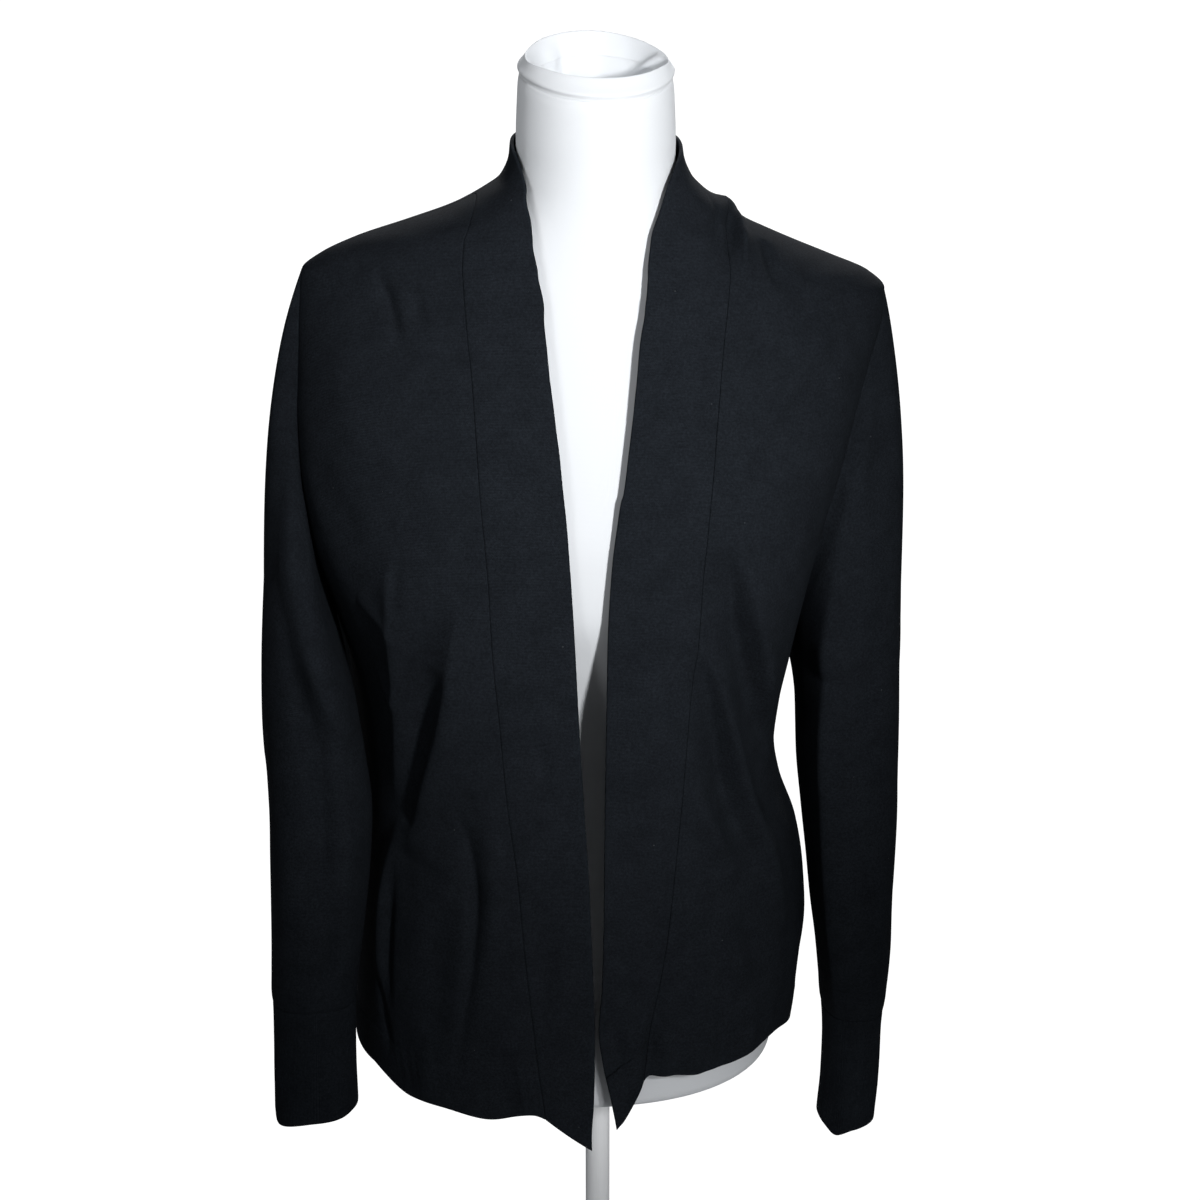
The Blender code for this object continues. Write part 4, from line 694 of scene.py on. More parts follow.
def sleeve_point(side, turn, q, creased=False):
    """A point of the smooth sleeve. q: -1 at the armhole, 0 at the first level section, 1 at the cuff."""
    rows = SLEEVE_SECTIONS[side]
    top, bottom = rows[0][0], rows[-1][0]
    turn, q = np.broadcast_arrays(np.asarray(turn, float), np.asarray(q, float))
    lower = ring(rows, top + (bottom - top) * np.clip(q, 0, 1), turn)
    a, z = armhole_point(side, turn)
    start = body_point(a, z)[0] if creased else BODY.point(a, z)
    end = ring(rows, np.full(turn.shape, top), turn)
    below = ring(rows, np.full(turn.shape, top - 0.012), turn)
    t = np.clip(q + 1, 0, 1)[..., None]
    chord = end - start
    length = np.linalg.norm(chord, axis=-1, keepdims=True)
    m1 = unit(below - end) * length
    outside = (0.5 + 0.5 * np.cos(turn))[..., None]
    front = np.maximum(np.sin(turn), 0)[..., None]
    back = np.maximum(-np.sin(turn), 0)[..., None]
    bulge = HEAD_BULGE[side]
    m0 = chord + length * (
        outside ** 2 * np.array((side * bulge[0], 0.0, bulge[1]))
        + front * (1 - 0.5 * outside) * np.array((0.0, -bulge[2], 0.0))
        + back * (1 - 0.5 * outside) * np.array((0.0, bulge[3], 0.0))
    )
    h00, h10 = 2 * t ** 3 - 3 * t ** 2 + 1, t ** 3 - 2 * t ** 2 + t
    h01, h11 = -2 * t ** 3 + 3 * t ** 2, t ** 3 - t ** 2
    head = h00 * start + h10 * m0 + h01 * end + h11 * m1
    return np.where((q < 0)[..., None], head, lower)


HEAD_BULGE = {-1: (0.26, 0.05, 0.10, 0.12), 1: (0.20, 0.05, 0.02, 0.12)}


def sleeve_surface(side):
    def at(turn, q):
        d = 1e-3
        p = sleeve_point(side, turn, q)
        around = sleeve_point(side, turn + 4 * d, q) - sleeve_point(side, turn - 4 * d, q)
        along = sleeve_point(side, turn, np.minimum(q + 4 * d, 1)) - sleeve_point(side, turn, np.maximum(q - 4 * d, -1))
        return p, unit(np.cross(around, along) * side)

    return at


BODY_PATHS = fold_paths(body_surface, BODY_FOLDS)
SLEEVE_PATHS = {side: fold_paths(sleeve_surface(side), SLEEVE_FOLDS[side]) for side in (-1, 1)}


# ---------------------------------------------------------------- grids of cloth
def smoothstep(x):
    x = np.clip(x, 0, 1)
    return x * x * (3 - 2 * x)


def grid_normals(p, guide, closed=False):
    """Normals of a grid of points, on the side that guide points to."""
    around = np.roll(p, -1, axis=1) - np.roll(p, 1, axis=1) if closed else np.gradient(p, axis=1)
    along = np.gradient(p, axis=0)
    n = np.cross(around, along)
    n *= np.sign((n * guide).sum(axis=-1, keepdims=True))
    size = np.linalg.norm(n, axis=-1, keepdims=True)
    return np.where(size > 1e-9, n / np.maximum(size, 1e-12), guide)


def run_length(p, axis):
    steps = np.linalg.norm(np.diff(p, axis=axis), axis=-1)
    zero = np.zeros_like(np.take(steps, [0], axis=axis))
    return np.concatenate([zero, np.cumsum(steps, axis=axis)], axis=axis)


def armhole_normal(side, turn):
    """The common outward direction of the body and the sleeve at their seam."""
    a, z = armhole_point(side, turn)
    n = BODY.normal(a, z) + sleeve_surface(side)(turn, np.full(np.shape(turn), -0.98))[1]
    n = n + np.array((0.0, 0.0, -0.5)) * (np.linalg.norm(n, axis=-1, keepdims=True) < 0.6)
    return unit(n)


def stitched_hem(d, u, amount=1.0):
    """Relief of a turned-up hem at distance d from its edge: a double layer, a stitch line and its small puckers."""
    groove = -0.00045 * np.exp(-(((d - HEM_TURN) / 0.0010) ** 2))
    layer = 0.00040 * (1 - smoothstep((d - HEM_TURN + 0.001) / 0.002))
    fade = np.clip(d / 0.012, 0, 1) * (1 - smoothstep((d - HEM_TURN) / 0.010))
    pucker = np.sin(2 * np.pi * u / 0.0072 + 1.7 * np.sin(2 * np.pi * u / 0.043)) * (0.6 + 0.4 * np.sin(2 * np.pi * u / 0.091 + 1.0))
    return groove + layer + amount * 0.00032 * fade * pucker


def hem_wall(d):
    return CLOTH + (HEM_CLOTH - CLOTH) * (1 - smoothstep((d - HEM_TURN + 0.001) / 0.002))


FIRST_SHOULDER = len(SHARES) + HOLE_ROWS
HEM_DISTANCE = SHARES * 0.33


def knit_uv(p, columns_first=False):
    """Metres along the courses and along the wales."""
    u = run_length(p, 1)
    per_column = run_length(p, 0)
    mean = per_column.mean(axis=1, keepdims=True) + 0 * per_column
    v = mean.copy()
    if len(p) > FIRST_SHOULDER:
        v[FIRST_SHOULDER:] = mean[FIRST_SHOULDER - 1] + per_column[FIRST_SHOULDER:] - per_column[FIRST_SHOULDER - 1]
    return np.stack([u, v], axis=-1)


EASE = (1.0, 0.62, 0.30, 0.10)


def eased(n, guide):
    """Normals that meet those of the smooth surface along the seams, so that two pieces join there."""
    n = n.copy()
    for k, w in enumerate(EASE):
        for place in ((slice(None), k), (slice(None), -1 - k), (-1 - k, slice(None))):
            n[place] = unit(n[place] * (1 - w) + guide[place] * w)
    return n


def body_piece(a, z, seams):
    """Position, normal, uv and thickness of a body panel. seams: (column, side, sign) of each armhole edge."""
    p, guide = body_point(a, z)
    uv = knit_uv(p)
    n = eased(grid_normals(p, guide), guide)
    rows = len(SHARES)
    for col, side, inward in seams:
        common = armhole_normal(side, TURNS if side_front(a, col) else 2 * np.pi - TURNS)
        for k, w in enumerate((1.0, 0.62, 0.30, 0.10)):
            c = col + inward * k
            n[rows:FIRST_SHOULDER, c] = unit(n[rows:FIRST_SHOULDER, c] * (1 - w) + common * w)
    d = np.concatenate([HEM_DISTANCE, np.full(len(a) - rows, 1.0)])[:, None]
    lift = stitched_hem(d, uv[..., 0], 1.0)
    p = p + n * np.where(d < 0.06, lift, 0.0)[..., None]
    t = hem_wall(d) + 0 * a
    return np.concatenate([p, n, uv, t[..., None]], axis=-1)


def side_front(a, col):
    """Whether that edge of the panel lies on the front."""
    return abs(math.degrees(float(a[0, col]))) < 90.5 and abs(math.degrees(float(a[0, a.shape[1] // 2]))) < 89


def sleeve_piece(side, columns=2 * HOLE_ROWS):
    turn = np.linspace(0, 2 * np.pi, columns, endpoint=False)
    q = np.concatenate([-1 + np.linspace(0, 1, 62) ** 1.15, np.linspace(0, 1, 92)[1:]])
    T, Q = np.meshgrid(turn, q)
    p = sleeve_point(side, T, Q, creased=True)
    guide = sleeve_surface(side)(T, Q)[1]
    flat = sleeve_point(side, T, Q)
    lift = fold_field(flat.reshape(-1, 3), SLEEVE_PATHS[side]).reshape(T.shape) + ripple(flat, 0.0009, 11 + side)
    lift = lift * smoothstep((Q + 1) / 0.16) * smoothstep((1 - Q) / 0.05)
    # the sleeve is a little fuller than its cuff, and is eased onto it
    lift = lift + 0.0005 * smoothstep((Q - 0.90) / 0.07) * (1 - smoothstep((Q - 0.98) / 0.02))
    p = p + guide * lift[..., None]
    n = grid_normals(p, guide, closed=True)
    common = armhole_normal(side, turn)
    for k, w in enumerate((1.0, 0.62, 0.30, 0.10)):
        n[k] = unit(n[k] * (1 - w) + common * w)
    around = run_length(np.concatenate([p, p[:, :1]], axis=1), 1)
    middle = around[:, -1:].mean()
    u = np.broadcast_to(np.linspace(0, middle, columns + 1), around.shape)
    v = run_length(p, 0).mean(axis=1, keepdims=True)
    uv = np.stack([u[:, :-1], v + 0 * p[..., 0]], axis=-1)
    return np.concatenate([p, n, uv, np.full(T.shape + (1,), CLOTH)], axis=-1), middle


def cuff_piece(side, columns=288, rows=40):
    """A fine 1x1 rib tube."""
    table = CUFF_SECTIONS[side]
    top, bottom = table[0][0], table[-1][0]
    turn = np.linspace(0, 2 * np.pi, columns, endpoint=False)
    s = np.linspace(0, 1, rows)
    T, S = np.meshgrid(turn, s)
    z = top + (bottom - top) * S
    p = ring(table, z, T)
    dip = -0.004 * np.cos(T) * (1 if side < 0 else -1) - 0.003 * np.sin(T)
    if side > 0:  # the lowest point of the right cuff's edge is a small pulled corner
        dip = dip - 0.0050 * np.exp(-(((np.degrees(T) - 128) / 30) ** 2))
    p[..., 2] += dip * S ** 3
    above = SLEEVE_SECTIONS[side]
    joined = ring(above, np.full(T.shape, above[-1][0]), T) - p[:1]
    p = p + joined * (1 - smoothstep(S / 0.12))[..., None]
    away = p - np.array([np.interp(z[:, 0], [r[0] for r in sorted(table)], [r[k] for r in sorted(table)]) for k in (1, 2)] + [z[:, 0]]).T[:, None, :]
    guide = unit(away * (1, 1, 0))
    ribs = 72
    rib = 0.00012 * np.cos(ribs * T) * smoothstep(S / 0.04) * smoothstep((1 - S) / 0.02)
    wave = 0.0007 * np.sin(3 * T + 4 * S) * S + 0.0005 * np.sin(5 * T - 3 * S + 1.0) * S
    n = grid_normals(p, guide, closed=True)
    p = p + n * (rib + wave)[..., None]
    middle = run_length(np.concatenate([p, p[:, :1]], axis=1), 1)[:, -1].mean()
    u = np.broadcast_to(np.linspace(0, middle, columns, endpoint=False), T.shape)
    v = run_length(p, 0).mean(axis=1, keepdims=True)
    uv = np.stack([u, v + 0 * u], axis=-1)
    t = CLOTH + (CUFF_CLOTH - CLOTH) * smoothstep(S / 0.08)
    return np.concatenate([p, n, uv, t[..., None]], axis=-1), middle


ROUND = 4


def round_ends(g, gap, radius):
    """Adds rows beside the first and the last row, for a round edge. Gives the grid and its share of thickness."""
    phi = np.linspace(0, np.pi / 2, ROUND)
    d, s = radius * (1 - np.cos(phi)), np.sin(phi)

    def end(a, b, start):
        away = np.maximum(np.linalg.norm(b[..., :3] - a[..., :3], axis=-1), 1e-9)
        limit = 0.06 + 0.86 * np.arange(ROUND) / ROUND
        f = np.minimum((start + d)[:, None] / away[None, :], limit[:, None])
        return a[None] + (b - a)[None] * f[..., None]

    first, last = end(g[0], g[1], gap[0]), end(g[-1], g[-2], gap[1])
    grid = np.concatenate([first, g[1:-1], last[::-1]])
    return grid, np.concatenate([s, np.ones(len(g) - 2), s[::-1]])


def shell_grid(g, row_gap, col_gap=None, radius=0.0009):
    g, s_row = round_ends(g, row_gap, radius)
    s = s_row[:, None] + 0 * g[..., 0]
    if col_gap is not None:
        swapped, s_col = round_ends(np.swapaxes(g, 0, 1), col_gap, radius)
        g = np.swapaxes(swapped, 0, 1)
        s = s_row[:, None] * s_col[None, :]
    return g, s


def cloth_mesh(g, s, closed):
    """Vertices, faces and uvs of a cloth wall with shared edges where its thickness is 0."""
    p, n, uv, t = g[..., :3], unit(g[..., 3:6]), g[..., 6:8], g[..., 8:9]
    middle = p - n * t / 2
    half = n * (t / 2) * s[..., None]
    rows, columns = p.shape[:2]
    verts = np.concatenate([(middle + half).reshape(-1, 3), (middle - half).reshape(-1, 3)])
    uvs = np.concatenate([uv.reshape(-1, 2)] * 2)
    index = np.arange(rows * columns).reshape(rows, columns)
    if closed:
        index = np.concatenate([index, index[:, :1]], axis=1)
    a, b, c, d = index[:-1, :-1], index[:-1, 1:], index[1:, 1:], index[1:, :-1]
    quads = np.stack([a, b, c, d], axis=-1).reshape(-1, 4)
    mid = quads[len(quads) // 2]
    facing = np.cross(verts[mid[2]] - verts[mid[0]], verts[mid[3]] - verts[mid[1]]) @ n.reshape(-1, 3)[mid[0]]
    if facing < 0:
        quads = quads[:, ::-1]
    quads = np.concatenate([quads, quads[:, ::-1] + rows * columns])
    corner_uv = uvs[quads]
    if closed:  # the seam's last column runs on to the full width instead of back to 0
        wide = uv[..., 0].max() * columns / (columns - 1)
        jump = corner_uv[..., 0].max(axis=1) - corner_uv[..., 0].min(axis=1) > wide / 2
        u = corner_uv[..., 0]
        u[jump] = np.where(u[jump] < wide / 2, u[jump] + wide, u[jump])
    return verts, quads, corner_uv
# == end of shapes


# ---------------------------------------------------------------- Blender meshes
def make_mesh(name, verts, quads, corner_uv, finish, body="root"):
    """A smooth mesh from arrays. Vertices at the same place become one, and faces without an area are left out."""
    key = np.round(verts * 2e6).astype(np.int64)
    _, first, same = np.unique(key, axis=0, return_index=True, return_inverse=True)
    same = same.reshape(-1)
    verts = verts[first]
    quads = same[quads]
    following = np.roll(quads, -1, axis=1)
    doubled = quads == following
    whole = ~doubled.any(axis=1)
    one = doubled.sum(axis=1) == 1
    across = (quads[:, 0] == quads[:, 2]) | (quads[:, 1] == quads[:, 3])
    whole &= ~across
    one &= ~across
    loops, uvs, sizes = [quads[whole].ravel()], [corner_uv[whole].reshape(-1, 2)], [np.full(whole.sum(), 4)]
    if one.any():
        keep = ~doubled[one]
        loops.append(quads[one][keep])
        uvs.append(corner_uv[one][keep])
        sizes.append(np.full(one.sum(), 3))
    loops, uvs, sizes = np.concatenate(loops), np.concatenate(uvs), np.concatenate(sizes)
    used, loops = np.unique(loops, return_inverse=True)
    loops = loops.reshape(-1)
    verts = verts[used]
    mesh = bpy.data.meshes.new(name)
    mesh.vertices.add(len(verts))
    mesh.vertices.foreach_set("co", verts.astype(np.float32).ravel())
    mesh.loops.add(len(loops))
    mesh.loops.foreach_set("vertex_index", loops.astype(np.int32))
    mesh.polygons.add(len(sizes))
    mesh.polygons.foreach_set("loop_start", np.concatenate([[0], np.cumsum(sizes)[:-1]]).astype(np.int32))
    mesh.polygons.foreach_set("loop_total", sizes.astype(np.int32))
    mesh.polygons.foreach_set("use_smooth", np.ones(len(sizes), bool))
    layer = mesh.uv_layers.new(name="fabric")
    layer.uv.foreach_set("vector", uvs.astype(np.float32).ravel())
    mesh.update(calc_edges=True)
    mesh.validate(clean_customdata=False)
    mesh.materials.append(finish)
    made = bpy.data.objects.new(name, mesh)
    bpy.context.scene.collection.objects.link(made)
    if body:
        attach(made, body)
    return made


class Nodes:
    """A material's node tree, written as expressions."""

    def __init__(self, name):
        self.material = bpy.data.materials.new(name)
        self.material.use_nodes = True
        self.tree = self.material.node_tree
        self.tree.nodes.clear()

    def new(self, kind, **settings):
        node = self.tree.nodes.new(kind)
        for key, value in settings.items():
            setattr(node, key, value)
        return node

    def put(self, socket, value):
        if isinstance(value, bpy.types.NodeSocket):
            self.tree.links.new(value, socket)
        else:
            socket.default_value = value

    def math(self, operation, *values, clamp=False):
        node = self.new("ShaderNodeMath", operation=operation, use_clamp=clamp)
        for socket, value in zip(node.inputs, values):
            self.put(socket, value)
        return node.outputs[0]

    def mix(self, factor, a, b, blend="MIX"):
        node = self.new("ShaderNodeMix", data_type="RGBA", blend_type=blend)
        for socket, value in zip([node.inputs[0], node.inputs[6], node.inputs[7]], (factor, a, b)):
            self.put(socket, value)
        return node.outputs[2]

    def place(self):
        return self.new("ShaderNodeTexCoord").outputs["Object"]

    def uv(self):
        parts = self.new("ShaderNodeSeparateXYZ")
        self.put(parts.inputs[0], self.new("ShaderNodeUVMap", uv_map="fabric").outputs[0])
        return parts.outputs[0], parts.outputs[1]

    def noise(self, scale, detail=2.0, roughness=0.5, vector=None):
        node = self.new("ShaderNodeTexNoise")
        self.put(node.inputs["Vector"], self.place() if vector is None else vector)
        node.inputs["Scale"].default_value = scale
        node.inputs["Detail"].default_value = detail
        node.inputs["Roughness"].default_value = roughness
        return node.outputs[0]

    def span(self, value, low, high, to_low, to_high):
        node = self.new("ShaderNodeMapRange")
        for socket, v in zip(node.inputs, (value, low, high, to_low, to_high)):
            self.put(socket, v)
        return node.outputs[0]

    def knit(self, wale, course):
        """Height of plain jersey: each wale a column of V stitches."""
        u, v = self.uv()
        x = self.math("FRACT", self.math("DIVIDE", u, wale))
        away = self.math("ABSOLUTE", self.math("SUBTRACT", x, 0.5))
        leg = self.math("SUBTRACT", away, 0.25)
        leg = self.math("SUBTRACT", 1.0, self.math("MULTIPLY", self.math("MULTIPLY", leg, leg), 16.0))
        slant = self.math("ADD", self.math("DIVIDE", v, course), self.math("MULTIPLY", away, 1.25))
        stitch = self.math("COSINE", self.math("MULTIPLY", slant, 2 * math.pi))
        stitch = self.math("ADD", 0.62, self.math("MULTIPLY", stitch, 0.38))
        return self.math("MULTIPLY", leg, stitch)

    def finish(self, colour, bump, distance, strength, roughness, specular, **shader):
        out = self.new("ShaderNodeOutputMaterial")
        surface = self.new("ShaderNodeBsdfPrincipled")
        self.put(surface.inputs["Base Color"], colour)
        surface.inputs["Roughness"].default_value = roughness
        surface.inputs["Specular IOR Level"].default_value = specular
        for key, value in shader.items():
            surface.inputs[key.replace("_", " ").title()].default_value = value
        if bump is not None:
            node = self.new("ShaderNodeBump")
            node.inputs["Distance"].default_value = distance
            node.inputs["Strength"].default_value = strength
            self.put(node.inputs["Height"], bump)
            self.put(surface.inputs["Normal"], node.outputs[0])
        self.tree.links.new(surface.outputs[0], out.inputs[0])
        return self.material


def black_knit(name, base, wale, course, rib=None, lint=0.5):
    m = Nodes(name)
    height = m.knit(wale, course)
    uneven = m.noise(55.0, 3.0, 0.6)
    fuzz = m.noise(1500.0, 2.0, 0.6)
    relief = m.math("ADD", height, m.math("MULTIPLY", fuzz, 0.55))
    if rib is not None:
        u, _ = m.uv()
        wave = m.math("COSINE", m.math("MULTIPLY", u, 2 * math.pi / rib))
        relief = m.math("ADD", relief, m.math("MULTIPLY", wave, 0.45))
    # courses of slightly uneven yarn
    _, v = m.uv()
    row = m.new("ShaderNodeCombineXYZ")
    m.put(row.inputs[1], m.math("MULTIPLY", v, 1.0))
    yarn = m.noise(700.0, 1.0, 0.5, row.outputs[0])
    # painted shade: the grooves between the stitches are coloured darker than the stitches' tops
    light = m.span(height, 0.0, 1.0, 0.62, 1.22)
    light = m.math("MULTIPLY", light, m.span(uneven, 0.3, 0.7, 0.88, 1.12))
    light = m.math("MULTIPLY", light, m.span(yarn, 0.3, 0.7, 0.94, 1.06))
    light = m.math("MULTIPLY", light, m.span(fuzz, 0.3, 0.7, 0.80, 1.22))
    # the mottled look of melange yarn
    light = m.math("MULTIPLY", light, m.span(m.noise(620.0, 1.0, 0.5), 0.3, 0.7, 0.80, 1.20))
    tone = m.new("ShaderNodeCombineXYZ")
    for socket, value in zip(tone.inputs, base):
        m.put(socket, m.math("MULTIPLY", light, value))
    colour = tone.outputs[0]
    # a few pale specks of lint
    specks = m.new("ShaderNodeTexVoronoi")
    m.put(specks.inputs["Vector"], m.place())
    specks.inputs["Scale"].default_value = 95.0
    cell = m.new("ShaderNodeSeparateXYZ")
    m.put(cell.inputs[0], specks.outputs["Color"])
    chosen = m.math("GREATER_THAN", cell.outputs[0], 1 - 0.16 * lint)
    near = m.math("LESS_THAN", specks.outputs["Distance"], 0.040)
    colour = m.mix(m.math("MULTIPLY", m.math("MULTIPLY", chosen, near), 0.30), colour, (0.20, 0.21, 0.22, 1))
    return m.finish(colour, relief, 0.00030, 0.75, 0.92, 0.03)


JERSEY = black_knit("black_jersey", (0.0120, 0.0146, 0.0185), 0.00125, 0.00105)
RIB = black_knit("black_rib", (0.0118, 0.0144, 0.0183), 0.00120, 0.00100, rib=0.0026)
BAND = black_knit("black_band", (0.0122, 0.0148, 0.0188), 0.00125, 0.00105)

m = Nodes("white_form_jersey")
height = m.knit(0.0009, 0.0008)
soft = m.noise(26.0, 3.0)
# painted shade: the cover's knit grooves are mixed towards its darker grey
WHITE = m.finish(
    m.mix(m.math("MULTIPLY", m.span(height, 0, 1, 1, 0), 0.5), (0.72, 0.74, 0.765, 1), (0.62, 0.645, 0.675, 1)),
    m.math("ADD", height, m.math("MULTIPLY", soft, 0.8)), 0.00010, 0.5, 0.85, 0.2, sheen_weight=0.05,
)

m = Nodes("white_stand_paint")
peel = m.noise(420.0, 2.0)
worn = m.noise(24.0, 4.0, 0.6)
PAINT = m.finish(
    m.mix(m.span(worn, 0.35, 0.75, 0, 0.5), (0.90, 0.91, 0.92, 1), (0.83, 0.84, 0.85, 1)), peel, 0.00012, 0.35, 0.38, 0.45,
)


# ---------------------------------------------------------------- the cardigan
def cloth(name, g, s, finish, node, closed=False):
    made = make_mesh(name, *cloth_mesh(g, s, closed), finish)
    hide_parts(node)
    return made


for side, word in ((-1, "left"), (1, "right")):
    a, z = front_grid(side)
    g, s = shell_grid(body_piece(a, z, [(-1, side, -1)]), (0.0, 0.0), (0.0, 0.0))
    cloth("cloth_front_" + word, g, s, JERSEY, "front_" + word)

a, z = back_grid()
g, s = shell_grid(body_piece(a, z, [(0, -1, 1), (-1, 1, -1)]), (0.0, 0.0), (0.0, 0.0))
cloth("cloth_back", g, s, JERSEY, "back")

for side, word in ((-1, "left"), (1, "right")):
    a, z = band_grid(side)
    p, guide = body_point(a, z)
    uv = knit_uv(p)
    n = eased(grid_normals(p, guide), guide)
    n[-1] = unit(n[-1] * (0, 1, 1))
    # a doubled band: it swells a little between its seam and its free fold
    share = np.linspace(0, 1, a.shape[1])[None, :] + 0 * a
    p = p + n * (0.0006 * np.sin(np.pi * share) ** 0.6)[..., None]
    t = CLOTH + (BAND_CLOTH - CLOTH) * smoothstep(share / 0.12)
    g = np.concatenate([p, n, uv, t[..., None]], axis=-1)
    g, s = shell_grid(g, (0.0, 0.0), (0.0, 0.0))
    cloth("cloth_band_" + word, g, s, BAND, "band_" + word)

    g, _ = sleeve_piece(side)
    g, s = shell_grid(g, (0.0, 0.0), radius=0.0006)
    cloth("cloth_sleeve_" + word, g, s, JERSEY, "sleeve_" + word, closed=True)

    g, _ = cuff_piece(side)
    g, s = shell_grid(g, (0.0, 0.0), radius=0.0006)
    cloth("cloth_cuff_" + word, g, s, RIB, "cuff_" + word, closed=True)


# ---------------------------------------------------------------- the dress form
def neck_cut(y):
    return NECK_TOP + NECK_SLANT * (y - SIDE_SEAM_Y)


NECK_RADIUS, NECK_WELL_RADIUS, NECK_WELL_DEPTH = 0.055, 0.043, 0.034
RIM_HEIGHT, RIM_WALL = 0.0135, 0.0090
AROUND = 192
angles = np.linspace(0, 2 * np.pi, AROUND, endpoint=False)
OUT = np.stack([np.sin(angles), -np.cos(angles), 0 * angles], axis=-1)


def ring_at(z):
    return FORM.point(angles, np.full(AROUND, z))


rings = []
edge = 0.010
low = ring_at(FORM_BOTTOM + edge)
low_n = unit(FORM.normal(angles, np.full(AROUND, FORM_BOTTOM + edge)) * (1, 1, 0))
middle_low = low.mean(axis=0) * (1, 1, 0) + np.array((0, 0, FORM_BOTTOM))
for share in (0.0, 0.35, 0.7, 0.9):
    r = middle_low + (low - low_n * edge - middle_low) * share
    r[:, 2] = FORM_BOTTOM
    rings.append(r)
for k in range(8):
    turn = math.pi / 2 * k / 8
    r = low - low_n * edge * (1 - math.sin(turn))
    r[:, 2] = FORM_BOTTOM + edge * (1 - math.cos(turn))
    rings.append(r)
for z in np.concatenate([np.linspace(FORM_BOTTOM + edge, 0.83, 74), np.linspace(0.83, 0.957, 36)[1:]]):
    rings.append(ring_at(z))
collar = ring_at(0.98)
for share in np.linspace(0, 1, 22)[1:]:
    r = collar.copy()
    r[:, 2] = 0.957 + (neck_cut(r[:, 1]) - 0.957) * share
    # a soft hollow under the rolled rim
    r -= OUT * (0.0010 * np.exp(-(((neck_cut(r[:, 1]) - r[:, 2]) / 0.0046) ** 2)))[:, None]
    rings.append(r)
neck_centre = np.array((0.0, (FORM.point(np.array([0.0]), np.array([0.98]))[0, 1] + FORM.point(np.array([np.pi]), np.array([0.98]))[0, 1]) / 2, 0.0))


def well_ring(radius, depth):
    r = neck_centre + OUT * np.asarray(radius)[..., None]
    r[:, 2] = neck_cut(r[:, 1]) - depth
    return r


# the cover is tucked into the neck: uneven pleats run down its inside and meet at the bottom
degrees = np.degrees(angles)


def pleat(at, wide):
    away = (degrees - at + 180) % 360 - 180
    return np.exp(-((away / wide) ** 2))


wide = curve([0, 50, 82, 97, 120, 180, 240, 263, 278, 310, 360], [46.2, 47.6, 50.6, 51.0, 49.6, 48.4, 49.6, 51.0, 50.8, 47.8, 46.2])
tall = curve([0, 60, 90, 100, 140, 180, 220, 260, 270, 300, 360], [13.6, 13.2, 10.6, 11.0, 13.4, 15.2, 14.6, 12.4, 12.2, 13.6, 13.6])
mouth, crown = wide(degrees) * 0.001, tall(degrees) * 0.001
folded = pleat(189, 9) * (degrees < 189) + pleat(189, 7) * (degrees >= 189)
pleats = 0.7 * pleat(221, 10) + 0.6 * pleat(154, 12) + 0.7 * pleat(262, 9) + 0.7 * pleat(40, 12) + 0.6 * pleat(318, 11) + 0.5 * pleat(0, 10)


def wall_relief(depth):
    """How far the cover bulges into the neck, at depths below the rim's crown."""
    deep = smoothstep(depth / 0.014)
    tuck = pleat(99 + 46 * np.clip(depth / 0.030, 0, 1), 6) * smoothstep(depth / 0.003) * (1 - smoothstep((depth - 0.030) / 0.012))
    return deep * (0.0034 * folded - 0.0016 * pleat(206, 6) + 0.0022 * pleats) + 0.0036 * tuck


rings.append(well_ring(np.linalg.norm((rings[-1] - neck_centre)[:, :2], axis=1) - 0.0003, 0.0))
rings.append(well_ring(NECK_WELL_RADIUS - wall_relief(crown) + 0.0003, 0.0))
for share in np.concatenate([[0, 0.01], np.linspace(0, 1, 20)[1:]]):
    rings.append(well_ring(NECK_WELL_RADIUS - wall_relief(crown + NECK_WELL_DEPTH * 0.8 * share) - 0.0008 * smoothstep(share), NECK_WELL_DEPTH * 0.8 * share))
for share in np.linspace(0, 1, 12)[1:]:
    r = NECK_WELL_RADIUS * (1 - share) + 0.0015 * share
    ripples = (0.0022 * (pleats + folded) + 0.0010 * np.cos(11 * angles + 2.0)) * np.sin(np.pi * min(1.0, share * 0.96 + 0.04)) ** 0.7
    relief = wall_relief(crown + NECK_WELL_DEPTH * 0.8) * (1 - share) ** 2
    rings.append(well_ring(r - relief - 0.0008 * (1 - share), NECK_WELL_DEPTH * (0.8 + 0.2 * math.sin(math.pi / 2 * share)) - ripples))
def taper(points):
    """The neck narrows a little towards its rim."""
    points[..., 0] *= 1 - 0.042 * smoothstep((points[..., 2] - 0.962) / 0.062)
    return points


form = taper(np.array(rings))
rows = len(form)
index = np.arange(rows * AROUND).reshape(rows, AROUND)
index = np.concatenate([index, index[:, :1]], axis=1)
quads = np.stack([index[:-1, :-1], index[:-1, 1:], index[1:, 1:], index[1:, :-1]], axis=-1).reshape(-1, 4)
run = run_length(np.concatenate([form, form[:, :1]], axis=1), 1)
lengths = run_length(form, 0).mean(axis=1)
uv = np.stack([np.broadcast_to(np.linspace(0, 0.80, AROUND + 1), (rows, AROUND + 1)), np.broadcast_to(lengths[:, None], (rows, AROUND + 1))], axis=-1)
corner_uv = np.stack([uv[:-1, :-1], uv[:-1, 1:], uv[1:, 1:], uv[1:, :-1]], axis=2).reshape(-1, 4, 2)
verts = form.reshape(-1, 3)
bottom = len(verts)
cap_low, cap_high = verts[:AROUND].mean(axis=0), verts[-AROUND:].mean(axis=0)
verts = np.concatenate([verts, [cap_high]])
fan = np.stack([index[-1, :-1], index[-1, 1:], np.full(AROUND, bottom), np.full(AROUND, bottom)], axis=-1)
quads = np.concatenate([quads, fan])
corner_uv = np.concatenate([corner_uv, np.zeros((AROUND, 4, 2))])
form_piece = make_mesh("form_cover", verts, quads, corner_uv, WHITE)
